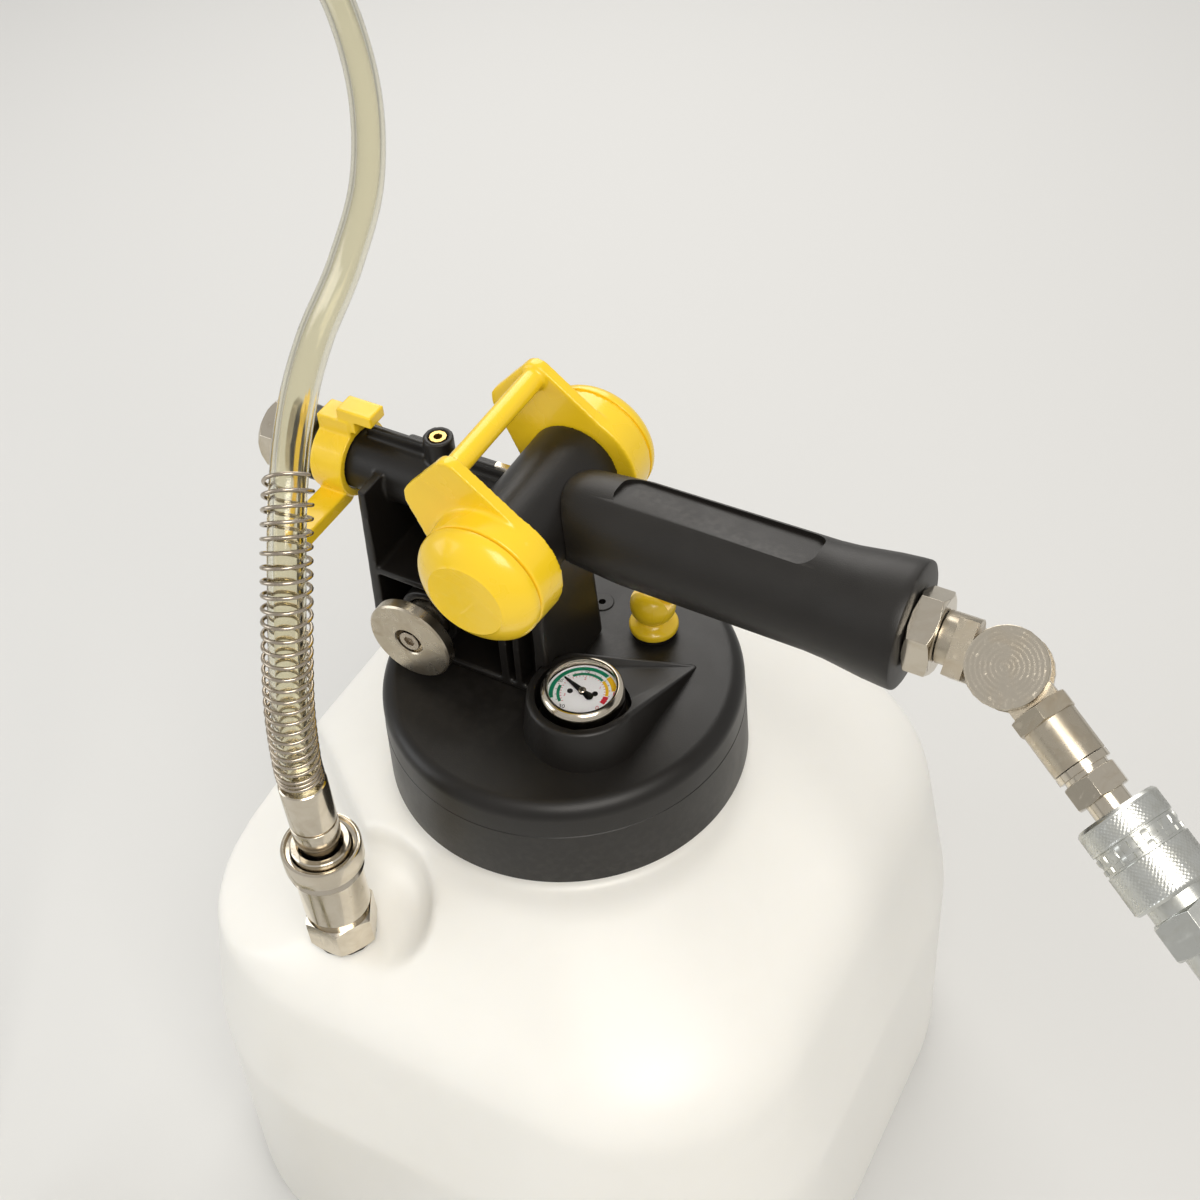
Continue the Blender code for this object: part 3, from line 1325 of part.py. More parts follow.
def add_seal(name, axis, groove, centre, bore):
    """Round section seal in its groove."""
    wire = min(SEAL_WIRE, (bore - groove) / 2 - GAP / 2)
    middle = (groove + bore) / 2
    section = [
        (middle + wire * math.cos(math.tau * k / SEAL_SIDES), centre + wire * math.sin(math.tau * k / SEAL_SIDES))
        for k in range(SEAL_SIDES)
    ]
    add_object(name, turned(name, section, STEPS_SMALL), rubber(f"{name}_rubber"), axis)


def build_selector():
    """Spool through the pylon with seals, and its zinc knob held by a socket screw."""
    axis = add_frame("selector_axis", (SELECTOR_X, 0, SELECTOR_Z), (math.pi / 2, 0, 0))
    groove = SPOOL_RADIUS - SEAL_GROOVE_DEPTH
    half = SEAL_GROOVE_WIDTH / 2
    knob_back = -KNOB_FRONT - KNOB_THICKNESS
    low = -SPOOL_BACK + GAP + SELECTOR_TRAVEL
    places = (low + SEAL_GROOVE_WIDTH * 2, -SELECTOR_BOSS_FRONT - SELECTOR_TRAVEL - SEAL_GROOVE_WIDTH * 2)
    profile = [(0, low), (SPOOL_RADIUS, low)]
    for centre in places:
        profile += [
            (SPOOL_RADIUS, centre - half),
            (groove, centre - half),
            (groove, centre + half),
            (SPOOL_RADIUS, centre + half),
        ]
    profile += [(SPOOL_RADIUS, knob_back - GAP), (0, knob_back - GAP)]
    add_object("selector_spool", turned("selector_spool", profile, STEPS_SMALL), zinc("spool_zinc"), axis)
    for name, centre in zip(("spool_seal_rear", "spool_seal_front"), places):
        add_seal(name, axis, groove, centre, SPOOL_BORE)
    front = -KNOB_FRONT
    socket_floor = front - KNOB_SOCKET_DEPTH
    knob = turned(
        "selector_knob",
        [
            (0, knob_back),
            (KNOB_RADIUS - KNOB_CHAMFER, knob_back),
            (KNOB_RADIUS, knob_back + KNOB_CHAMFER),
            (KNOB_RADIUS, front - KNOB_CHAMFER),
            (KNOB_RADIUS - KNOB_CHAMFER, front),
            (KNOB_SOCKET_RADIUS, front),
            (KNOB_SOCKET_RADIUS, socket_floor),
            (0, socket_floor),
        ],
        STEPS_MEDIUM,
    )
    add_object("selector_knob", knob, zinc("knob_zinc"), axis)
    head_low = socket_floor + GAP
    head_high = head_low + SCREW_HEAD_HEIGHT
    screw = add_object(
        "knob_screw",
        rod("knob_screw", SCREW_HEAD_RADIUS, head_low, head_high, STEPS_SMALL),
        plated_steel("screw_steel"),
        axis,
    )
    hexagon = polygon(2 * SCREW_HEX_RADIUS)
    hole = extruded("screw_hex_guide", hexagon, head_high - SCREW_HEX_DEPTH, head_high + OVERRUN)
    cut(screw, add_object("screw_hex_guide", hole, None, axis))


def build_grip():
    """Grip shell: rounded root over the barrel, slight taper, flared end, bore for the air."""
    axis = add_frame("grip_axis", (0, 0, BARREL_Z), (0, math.pi / 2, 0))
    root = arc(
        GRIP_ROOT_X + GRIP_ROOT_RADIUS, 0, GRIP_ROOT_RADIUS, math.pi, math.pi / 2, FILLET_STEPS + 1
    )
    flare_x = GRIP_END_X - GRIP_FLARE_LENGTH
    profile = [(radius, x) for x, radius in root]
    profile[0] = (0, GRIP_ROOT_X)
    profile += [
        (GRIP_NEAR_RADIUS, GRIP_ROOT_X + 2 * GRIP_ROOT_RADIUS),
        (GRIP_FAR_RADIUS, flare_x),
        ((GRIP_FAR_RADIUS + GRIP_END_RADIUS) / 2, GRIP_END_X - GRIP_FLARE_LENGTH * 2 / 3),
        (GRIP_END_RADIUS - GRIP_EDGE / 2, GRIP_END_X - GRIP_FLARE_LENGTH / 4),
        (GRIP_END_RADIUS, GRIP_END_X - GRIP_EDGE),
        (GRIP_END_RADIUS - GRIP_EDGE, GRIP_END_X),
        (0, GRIP_END_X),
    ]
    grip = add_object("grip_shell", turned("grip_shell", profile, STEPS_MEDIUM), black_plastic("grip_black"), axis)
    barrel_axis = add_frame("grip_barrel_axis", (0, 0, BARREL_Z), (math.pi / 2, 0, 0))
    reach = GRIP_ROOT_RADIUS + 2 * OVERRUN
    saddle = rod("saddle_guide", BARREL_RADIUS + GAP, -reach, reach, STEPS_MEDIUM)
    cut(grip, add_object("saddle_guide", saddle, None, barrel_axis))
    bore = turned(
        "grip_bore_guide",
        [
            (0, GRIP_BORE_START_X),
            (GRIP_BORE, GRIP_BORE_START_X),
            (GRIP_BORE, GRIP_END_X - GRIP_ENTRY_DEPTH),
            (GRIP_ENTRY_BORE, GRIP_END_X - GRIP_ENTRY_DEPTH),
            (GRIP_ENTRY_BORE, GRIP_END_X + OVERRUN),
            (0, GRIP_END_X + OVERRUN),
        ],
        STEPS_SMALL,
    )
    cut(grip, add_object("grip_bore_guide", bore, None, axis))
    middle = (PANEL_START_X + PANEL_END_X) / 2
    half_long = (PANEL_END_X - PANEL_START_X) / 2
    outline = rounded_rectangle(half_long, PANEL_WIDTH / 2, PANEL_CORNER, FILLET_STEPS)
    floor = GRIP_NEAR_RADIUS - PANEL_DEPTH
    panel = extruded("panel_guide", outline, floor, GRIP_END_RADIUS + OVERRUN)
    guide = add_object("panel_guide", panel, None, location=(middle, 0, BARREL_Z), rotation=(PANEL_TILT, 0, 0))
    cut(grip, guide)
    return grip


def build_socket():
    """Hose socket on the shelf: hex body, sliding sleeve, sealing washer, nut inside and dip tube."""
    axis = add_frame("socket_axis", (SOCKET_X, SOCKET_Y, SHELF_Z))
    seat = SOCKET_SEAT_THICKNESS
    washer = turned(
        "socket_washer",
        [
            (SOCKET_STEM_RADIUS + GAP, GAP),
            (SOCKET_HEX_ACROSS / 2, GAP),
            (SOCKET_HEX_ACROSS / 2, seat),
            (SOCKET_STEM_RADIUS + GAP, seat),
        ],
        STEPS_SMALL,
    )
    add_object("socket_washer", washer, rubber("washer_black"), axis)
    hex_low = seat + GAP
    hex_high = hex_low + SOCKET_HEX_HEIGHT
    nickel = plated_steel("socket_nickel")
    body = add_object(
        "socket_body", extruded("socket_body", polygon(SOCKET_HEX_ACROSS), hex_low, hex_high), nickel, axis
    )
    top = hex_high + SOCKET_BODY_HEIGHT
    column = turned(
        "socket_column_guide",
        [
            (0, -SOCKET_STEM_LENGTH),
            (SOCKET_STEM_RADIUS, -SOCKET_STEM_LENGTH),
            (SOCKET_STEM_RADIUS, hex_low + SOCKET_HEX_HEIGHT / 2),
            (SOCKET_BODY_RADIUS, hex_low + SOCKET_HEX_HEIGHT / 2),
            (SOCKET_BODY_RADIUS, top),
            (0, top),
        ],
        STEPS_SMALL,
    )
    join(body, add_object("socket_column_guide", column, None, axis))
    nose_low = top - FERRULE_NOSE_LENGTH - GAP
    bore = turned(
        "socket_bore_guide",
        [
            (0, -SOCKET_STEM_LENGTH - OVERRUN),
            (DIP_TUBE_RADIUS - DIP_TUBE_WALL, -SOCKET_STEM_LENGTH - OVERRUN),
            (DIP_TUBE_RADIUS - DIP_TUBE_WALL, nose_low - GAP),
            (SOCKET_BORE, nose_low - GAP),
            (SOCKET_BORE, top + OVERRUN),
            (0, top + OVERRUN),
        ],
        STEPS_SMALL,
    )
    cut(body, add_object("socket_bore_guide", bore, None, axis))
    sleeve_low = hex_high + SLEEVE_TRAVEL + GAP
    sleeve_high = sleeve_low + SLEEVE_LENGTH
    ring_low = sleeve_high - SLEEVE_RING_HEIGHT
    band_low = ring_low - SLEEVE_BAND_HEIGHT
    inner = SOCKET_BODY_RADIUS + GAP
    chamfer = SLEEVE_RING_RADIUS - SLEEVE_BAND_RADIUS
    sleeve = turned(
        "socket_sleeve",
        [
            (inner, sleeve_low),
            (SLEEVE_RADIUS - chamfer, sleeve_low),
            (SLEEVE_RADIUS, sleeve_low + chamfer),
            (SLEEVE_RADIUS, band_low),
            (SLEEVE_BAND_RADIUS, band_low),
            (SLEEVE_BAND_RADIUS, ring_low),
            (SLEEVE_RING_RADIUS, ring_low),
            (SLEEVE_RING_RADIUS, sleeve_high - chamfer),
            (SLEEVE_BAND_RADIUS, sleeve_high),
            (inner + chamfer, sleeve_high),
            (inner, sleeve_high - chamfer),
        ],
        STEPS_SMALL,
    )
    add_object("socket_sleeve", sleeve, plated_steel("sleeve_nickel"), axis)
    nut_high = -PAD_DEPTH - GAP
    nut = add_object(
        "socket_nut", extruded("socket_nut", polygon(NUT_ACROSS), nut_high - NUT_HEIGHT, nut_high), nickel, axis
    )
    hole = rod(
        "nut_hole_guide", SOCKET_STEM_RADIUS + GAP, nut_high - NUT_HEIGHT - OVERRUN, nut_high + OVERRUN, STEPS_SMALL
    )
    cut(nut, add_object("nut_hole_guide", hole, None, axis))
    tube_high = -SOCKET_STEM_LENGTH - GAP
    tube_low = TANK_WALL + DIP_TUBE_FLOOR_GAP - SHELF_Z
    bore = DIP_TUBE_RADIUS - DIP_TUBE_WALL
    tube = turned(
        "dip_tube",
        [(bore, tube_low), (DIP_TUBE_RADIUS, tube_low), (DIP_TUBE_RADIUS, tube_high), (bore, tube_high)],
        STEPS_TINY,
    )
    add_object("dip_tube", tube, clear_vinyl("dip_tube_clear"), axis)
    build_ferrule(axis, top)


def build_ferrule(axis, seat):
    """Hose end: nose inside the socket, ferrule with a turned groove above it."""
    low = seat + GAP
    high = low + FERRULE_HEIGHT
    groove_low = low + FERRULE_GROOVE_RISE
    groove_high = groove_low + FERRULE_GROOVE_WIDTH
    groove_radius = FERRULE_RADIUS - FERRULE_GROOVE_DEPTH
    edge = FERRULE_GROOVE_DEPTH
    profile = [
        (0, seat - FERRULE_NOSE_LENGTH),
        (FERRULE_NOSE_RADIUS, seat - FERRULE_NOSE_LENGTH),
        (FERRULE_NOSE_RADIUS, low + 3 * edge),
        (FERRULE_RADIUS - edge, low + 4 * edge),
        (FERRULE_RADIUS, low + 6 * edge),
        (FERRULE_RADIUS, groove_low),
        (groove_radius, groove_low),
        (groove_radius, groove_high),
        (FERRULE_RADIUS, groove_high),
        (FERRULE_RADIUS, high - edge),
        (FERRULE_RADIUS - edge, high),
        (0, high),
    ]
    add_object("hose_ferrule", turned("hose_ferrule", profile, STEPS_SMALL), plated_steel("ferrule_nickel"), axis)


def ferrule_top():
    """Height of the ferrule's top face, where the hose starts."""
    top = SHELF_Z + SOCKET_SEAT_THICKNESS + GAP + SOCKET_HEX_HEIGHT + SOCKET_BODY_HEIGHT
    return top + GAP + FERRULE_HEIGHT


def spring_guard_points(points):
    """Wire of the spring guard, wound round the hose: a few close turns, then an even open pitch."""
    radius = (HOSE_DIAMETER + SPRING_WIRE) / 2 + SPRING_CLEARANCE
    fine = smooth_points(points, SPRING_WIRE)
    frames = side_frames(fine)
    reach = [0.0]
    for a, b in zip(fine, fine[1:]):
        reach.append(reach[-1] + (b - a).length)
    closed_length = SPRING_CLOSED_TURNS * SPRING_CLOSED_PITCH
    open_pitch = (SPRING_LENGTH - 2 * SPRING_WIRE - closed_length) / (SPRING_TURNS - SPRING_CLOSED_TURNS)
    places = []
    index = 0
    count = SPRING_TURNS * SPRING_POINTS_PER_TURN
    steps = [(0.0, SPRING_WIRE / 2)]
    for k in range(count + 1):
        turn = k / SPRING_POINTS_PER_TURN
        along = turn * SPRING_CLOSED_PITCH
        if turn > SPRING_CLOSED_TURNS:
            along = closed_length + (turn - SPRING_CLOSED_TURNS) * open_pitch
        steps.append((turn, along + 2 * SPRING_WIRE))
    steps.append((SPRING_TURNS, steps[-1][1] + SPRING_WIRE * 3 / 2))
    for turn, along in steps:
        while reach[index + 1] < along:
            index += 1
        share = (along - reach[index]) / (reach[index + 1] - reach[index])
        centre = fine[index].lerp(fine[index + 1], share)
        side, across = frames[index]
        bearing = math.tau * turn
        places.append(centre + side * (radius * math.cos(bearing)) + across * (radius * math.sin(bearing)))
    return places


def coil_radius(turn):
    """Spirals in at a steady rate, then out again."""
    low = COIL_OUTER_RADIUS - COIL_PITCH * COIL_REVERSE_TURN
    return low + COIL_PITCH * abs(turn - COIL_REVERSE_TURN)


def coil_height(turn):
    """On the floor, then one layer up from the half turn where the spiral reverses."""
    start = COIL_REVERSE_TURN - COIL_CLIMB_TURNS / 2
    climbed = min(1.0, max(0.0, (turn - start) / COIL_CLIMB_TURNS))
    return COIL_FLOOR_GAP + HOSE_DIAMETER / 2 + COIL_LAYER_RISE * climbed


def coil_place(turn):
    bearing = COIL_START_BEARING + math.tau * turn
    radius = coil_radius(turn)
    return Vector((COIL_X + radius * math.cos(bearing), COIL_Y + radius * math.sin(bearing), coil_height(turn)))


def coil_points():
    """Turns of the coil, with a straight run of one diameter at each end."""
    count = round(COIL_TURNS * COIL_POINTS_PER_TURN)
    points = [coil_place(k / COIL_POINTS_PER_TURN) for k in range(count + 1)]
    first = (points[0] - points[1]).normalized()
    last = (points[-1] - points[-2]).normalized()
    return [points[0] + first * HOSE_DIAMETER, *points, points[-1] + last * HOSE_DIAMETER]


def hose_route(coil):
    """The free run: straight out of the ferrule, by the hand chosen points, into the coil's first turn."""
    start = Vector((SOCKET_X, SOCKET_Y, ferrule_top() + GAP))
    back = (coil[0] - coil[1]).normalized()
    end = coil[0] + back * GAP
    lead = end + back * COIL_LEAD
    return [start, *[Vector(p) for p in HOSE_ROUTE], lead, end]


def build_hose():
    """Free run, spring guard, coil with its tie, and the fitting on the hose's far end."""
    coil = coil_points()
    route = hose_route(coil)
    points = smooth_points(route, HOSE_POINT_SPACING)
    tube_along("hose_run", points, HOSE_DIAMETER / 2, 2, clear_vinyl("hose_clear"))
    guard = spring_guard_points(route[:8])
    tube_along("spring_guard", guard, SPRING_WIRE / 2, 1, plated_steel("spring_steel"))
    tube_along("hose_coil", coil, HOSE_DIAMETER / 2, 1, clear_vinyl("hose_coil_clear"))
    print("hose run", round(sum((b - a).length for a, b in zip(points, points[1:])), 4))
    print("coil", round(sum((b - a).length for a, b in zip(coil, coil[1:])), 4))
    print("coil least gap", round(least_gap(coil, HOSE_DIAMETER / 2, COIL_POINTS_PER_TURN // 2), 5))
    print("spring least gap", round(least_gap(guard, SPRING_WIRE / 2, SPRING_POINTS_PER_TURN // 2), 5))
    build_tie()
    build_connector(coil)


def build_tie():
    """Strap round the turns of the coil at one place."""
    here = coil_place(TIE_TURN)
    bearing = COIL_START_BEARING + math.tau * TIE_TURN
    tube = HOSE_DIAMETER / 2 + TIE_CLEARANCE
    circles = [(coil_radius(TIE_TURN + k), coil_height(TIE_TURN + k), tube) for k in range(2)]
    wide = [(x, y, radius + TIE_THICKNESS) for x, y, radius in circles]
    half = TIE_WIDTH / 2
    axis = add_frame("tie_axis", (COIL_X, COIL_Y, 0), (math.pi / 2, 0, bearing))
    strap = extruded("hose_tie", hull_outline(wide, STEPS_SMALL), -half, half)
    tie = add_object("hose_tie", strap, rubber("tie_black"), axis)
    hole = extruded("tie_guide", hull_outline(circles, STEPS_SMALL), -half - OVERRUN, half + OVERRUN)
    cut(tie, add_object("tie_guide", hole, None, axis))
    return here


def build_connector(coil):
    """Turned fitting on the hose's far end, lying on the coil."""
    along = (coil[-1] - coil[-2]).normalized()
    frame = add_frame("connector_axis", coil[-1] + along * GAP)
    frame.rotation_euler = along.to_track_quat("Z", "X").to_euler()
    edge = CONNECTOR_TIP_RADIUS / 4
    shoulder = CONNECTOR_LENGTH - CONNECTOR_TIP_LENGTH
    profile = [
        (0, 0),
        (HOSE_DIAMETER / 2 - edge / 2, 0),
        (HOSE_DIAMETER / 2, edge),
        (HOSE_DIAMETER / 2, shoulder / 2),
        (CONNECTOR_RADIUS - edge, shoulder / 2 + edge),
        (CONNECTOR_RADIUS, shoulder / 2 + 2 * edge),
        (CONNECTOR_RADIUS, shoulder - edge),
        (CONNECTOR_RADIUS - edge, shoulder),
        (CONNECTOR_TIP_RADIUS, shoulder),
        (CONNECTOR_TIP_RADIUS, CONNECTOR_LENGTH - edge),
        (CONNECTOR_TIP_RADIUS - edge, CONNECTOR_LENGTH),
        (CONNECTOR_BORE, CONNECTOR_LENGTH),
        (CONNECTOR_BORE, shoulder),
        (0, shoulder),
    ]
    made = turned("hose_connector", profile, STEPS_SMALL)
    add_object("hose_connector", made, plated_steel("connector_nickel"), frame)


def hex_guide(name, across, low, high, chamfer, axis):
    """Hexagon with both ends chamfered round."""
    made = add_object(name, extruded(name, polygon(across), low, high), None, axis)
    corner = across / 2 / math.cos(math.pi / 6) + chamfer / 4
    round_off = turned(
        f"{name}_round",
        [
            (0, low),
            (across / 2, low),
            (corner, low + chamfer),
            (corner, high - chamfer),
            (across / 2, high),
            (0, high),
        ],
        STEPS_SMALL,
    )
    combine(made, add_object(f"{name}_round", round_off, None, axis), "INTERSECT")
    return made


def build_inlet():
    """Air inlet: hex fitting in the grip's end, swivel block on it, jointed leg, plug and quick coupler."""
    axis = add_frame("inlet_axis", (0, 0, BARREL_Z), (0, math.pi / 2, 0))
    nickel = plated_steel("inlet_nickel")
    hex_low = GRIP_END_X + GAP
    hex_high = hex_low + FITTING_HEX_LENGTH
    neck_end = hex_high + FITTING_NECK_LENGTH
    stem_low = hex_low - FITTING_STEM_LENGTH
    fitting = hex_guide("inlet_fitting", FITTING_ACROSS, hex_low, hex_high, GRIP_EDGE, axis)
    fitting.data.materials.append(nickel)
    column = turned(
        "fitting_column_guide",
        [
            (0, stem_low),
            (FITTING_STEM_RADIUS, stem_low),
            (FITTING_STEM_RADIUS, hex_low + FITTING_HEX_LENGTH / 2),
            (FITTING_NECK_RADIUS, hex_low + FITTING_HEX_LENGTH / 2),
            (FITTING_NECK_RADIUS, neck_end),
            (0, neck_end),
        ],
        STEPS_SMALL,
    )
    join(fitting, add_object("fitting_column_guide", column, None, axis))
    bore = rod("fitting_bore_guide", FITTING_BORE, stem_low - OVERRUN, neck_end + OVERRUN, STEPS_TINY)
    cut(fitting, add_object("fitting_bore_guide", bore, None, axis))
    swivel = add_frame("swivel_axis", (0, 0, BARREL_Z), (KNUCKLE_ROLL, 0, 0))
    knuckle = add_frame("knuckle_axis", (KNUCKLE_X, -KNUCKLE_SINK, 0), (0, 0, 0), swivel)
    build_swivel_block(swivel, knuckle, hex_high + GAP, neck_end + GAP)
    leg = add_frame("leg_axis", (0, 0, 0), (0, 0, -KNUCKLE_BEND), knuckle)
    build_leg(leg)
    build_plug(add_frame("plug_axis", (0, 0, 0), (0, math.pi / 2, 0), leg))


def build_swivel_block(swivel, knuckle, start, socket_end):
    """Block that turns on the fitting's neck and carries two round cheeks for the leg."""
    half_thick = LEG_EYE_HALF + GAP + DISC_THICKNESS
    web_end = KNUCKLE_X - LEG_EYE_RADIUS - BODY_BLOCK_GAP
    half_wide = BODY_BLOCK_WIDTH / 2
    low = (socket_end - FITTING_NECK_LENGTH / 2, -half_wide - KNUCKLE_SINK, -half_thick)
    block = box_guide("swivel_block", low, (web_end, half_wide - KNUCKLE_SINK / 2, half_thick), swivel)
    block.data.materials.append(zinc("swivel_zinc"))
    block.hide_render = False
    for name, side in (("front_cheek_guide", 1), ("rear_cheek_guide", -1)):
        inner = (LEG_EYE_HALF + GAP) * side
        outer = half_thick * side
        edge = DISC_THICKNESS / 5 * side
        cheek = turned(
            name,
            [(0, inner), (DISC_RADIUS, inner), (DISC_RADIUS, outer - edge), (DISC_RADIUS - abs(edge), outer), (0, outer)],
            STEPS_MEDIUM,
        )
        join(block, add_object(name, cheek, None, knuckle))
    along_x = (0, math.pi / 2, 0)
    round_socket = rod("socket_round_guide", BODY_SOCKET_RADIUS, start, web_end, STEPS_SMALL)
    join(block, add_object("socket_round_guide", round_socket, None, swivel, (0, 0, 0), along_x))
    seat = rod("socket_seat_guide", FITTING_NECK_RADIUS + GAP, start - OVERRUN, socket_end, STEPS_SMALL)
    cut(block, add_object("socket_seat_guide", seat, None, swivel, (0, 0, 0), along_x))
    reach = half_thick + OVERRUN
    hole = rod("pin_hole_guide", KNUCKLE_PIN_RADIUS + GAP, -reach, reach, STEPS_SMALL)
    cut(block, add_object("pin_hole_guide", hole, None, knuckle))
    pin = rod("knuckle_pin", KNUCKLE_PIN_RADIUS, -half_thick, half_thick, STEPS_SMALL)
    add_object("knuckle_pin", pin, plated_steel("pin_steel"), knuckle)


def build_leg(leg):
    """Leg that swings between the cheeks: flat eye and neck, then a hex and a round tube along its own X."""
    eye = rod("swivel_leg", LEG_EYE_RADIUS, -LEG_EYE_HALF, LEG_EYE_HALF, STEPS_MEDIUM)
    made = add_object("swivel_leg", eye, zinc("leg_zinc"), leg)
    half = LEG_EYE_RADIUS * 0.7
    neck = box_guide("leg_neck_guide", (0, -half, -LEG_EYE_HALF), (LEG_HEX_START + LEG_HEX_LENGTH / 2, half, LEG_EYE_HALF), leg)
    join(made, neck)
    along = add_frame("leg_tube_axis", (0, 0, 0), (0, math.pi / 2, 0), leg)
    hex_end = LEG_HEX_START + LEG_HEX_LENGTH
    join(made, hex_guide("leg_hex_guide", LEG_HEX_ACROSS, LEG_HEX_START, hex_end, GRIP_EDGE / 2, along))
    tube = rod("leg_tube_guide", LEG_RADIUS, LEG_HEX_START + LEG_HEX_LENGTH / 2, LEG_END, STEPS_SMALL)
    join(made, add_object("leg_tube_guide", tube, None, along))
    hole = rod("eye_hole_guide", KNUCKLE_PIN_RADIUS + GAP, -LEG_EYE_HALF - OVERRUN, LEG_EYE_HALF + OVERRUN, STEPS_SMALL)
    cut(made, add_object("eye_hole_guide", hole, None, leg))
    bore = rod("leg_bore_guide", LEG_BORE, LEG_END - PLUG_STEM_LENGTH - OVERRUN, LEG_END + OVERRUN, STEPS_SMALL)
    cut(made, add_object("leg_bore_guide", bore, None, along))


def build_plug(along):
    """Plug in the leg's end, and the quick coupler's body and sliding sleeve on it."""
    low = LEG_END + GAP
    ring_end = low + PLUG_RING_LENGTH
    groove_end = ring_end + PLUG_GROOVE_LENGTH
    hex_end = groove_end + PLUG_HEX_LENGTH
    nipple_end = hex_end + PLUG_NIPPLE_LENGTH
    plug = add_object(
        "air_plug",
        turned(
            "air_plug",
            [
                (PLUG_BORE, low - PLUG_STEM_LENGTH),
                (PLUG_STEM_RADIUS, low - PLUG_STEM_LENGTH),
                (PLUG_STEM_RADIUS, low),
                (PLUG_RING_RADIUS, low),
                (PLUG_RING_RADIUS, ring_end),
                (PLUG_GROOVE_RADIUS, ring_end),
                (PLUG_GROOVE_RADIUS, groove_end + PLUG_HEX_LENGTH / 2),
                (PLUG_NIPPLE_RADIUS, groove_end + PLUG_HEX_LENGTH / 2),
                (PLUG_NIPPLE_RADIUS, nipple_end),
                (PLUG_BORE, nipple_end),
            ],
            STEPS_SMALL,
        ),
        plated_steel("plug_steel"),
        along,
    )
    collar = hex_guide("plug_hex_guide", PLUG_HEX_ACROSS, groove_end, hex_end, GRIP_EDGE / 2, along)
    hole = rod("plug_hex_hole_guide", (PLUG_BORE + PLUG_NIPPLE_RADIUS) / 2, groove_end - OVERRUN, hex_end + OVERRUN, STEPS_SMALL)
    cut(collar, add_object("plug_hex_hole_guide", hole, None, along))
    join(plug, collar)
    body_low = AIR_SLEEVE_START + AIR_BODY_INSET
    sleeve_end = AIR_SLEEVE_START + AIR_SLEEVE_LENGTH
    hex_low = sleeve_end + AIR_SLEEVE_TRAVEL + GAP
    hex_high = hex_low + AIR_HEX_LENGTH
    tail_end = hex_high + AIR_TAIL_LENGTH
    body = hex_guide("air_coupler_body", AIR_HEX_ACROSS, hex_low, hex_high, GRIP_EDGE, along)
    body.data.materials.append(plated_steel("coupler_body_steel"))
    column = turned(
        "coupler_column_guide",
        [
            (0, body_low),
            (AIR_BODY_RADIUS, body_low),
            (AIR_BODY_RADIUS, hex_low + AIR_HEX_LENGTH / 2),
            (AIR_TAIL_RADIUS, hex_low + AIR_HEX_LENGTH / 2),
            (AIR_TAIL_RADIUS, tail_end),
            (0, tail_end),
        ],
        STEPS_SMALL,
    )
    join(body, add_object("coupler_column_guide", column, None, along))
    inner = turned(
        "coupler_bore_guide",
        [
            (0, body_low - OVERRUN),
            (AIR_BODY_BORE, body_low - OVERRUN),
            (AIR_BODY_BORE, nipple_end + GAP),
            (PLUG_BORE, nipple_end + GAP),
            (PLUG_BORE, tail_end - AIR_TAIL_BORE_DEPTH),
            (AIR_TAIL_BORE, tail_end - AIR_TAIL_BORE_DEPTH),
            (AIR_TAIL_BORE, tail_end + OVERRUN),
            (0, tail_end + OVERRUN),
        ],
        STEPS_SMALL,
    )
    cut(body, add_object("coupler_bore_guide", inner, None, along))
    groove_low = AIR_SLEEVE_START + AIR_SLEEVE_LENGTH * AIR_SLEEVE_GROOVE_SHARE
    groove_radius = AIR_SLEEVE_RADIUS - AIR_SLEEVE_GROOVE_DEPTH
    edge = AIR_SLEEVE_CHAMFER
    sleeve = turned(
        "air_coupler_sleeve",
        [
            (AIR_SLEEVE_BORE, AIR_SLEEVE_START),
            (AIR_SLEEVE_RADIUS - edge, AIR_SLEEVE_START),
            (AIR_SLEEVE_RADIUS, AIR_SLEEVE_START + edge),
            (AIR_SLEEVE_RADIUS, groove_low),
            (groove_radius, groove_low),
            (groove_radius, groove_low + AIR_SLEEVE_GROOVE_WIDTH),
            (AIR_SLEEVE_RADIUS, groove_low + AIR_SLEEVE_GROOVE_WIDTH),
            (AIR_SLEEVE_RADIUS, sleeve_end - edge),
            (AIR_SLEEVE_RADIUS - edge, sleeve_end),
            (AIR_SLEEVE_BORE, sleeve_end),
        ],
        STEPS_MEDIUM,
    )
    add_object("air_coupler_sleeve", sleeve, plated_steel("coupler_sleeve_steel"), along)


def main():
    clear_scene()
    build_tank()
    build_gasket()
    build_lid()
    build_gauge()
    build_relief_valve()
    build_float()
    build_housing()
    build_air_path()
    build_clip()
    build_bail()
    build_selector()
    build_grip()
    build_socket()
    build_inlet()
    build_hose()


main()
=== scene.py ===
"""Looks of the fluid extractor: milky reservoir, black mouldings, yellow bail, clear hose."""
import json
import math

import bmesh
import bpy
from mathutils import Matrix, Vector

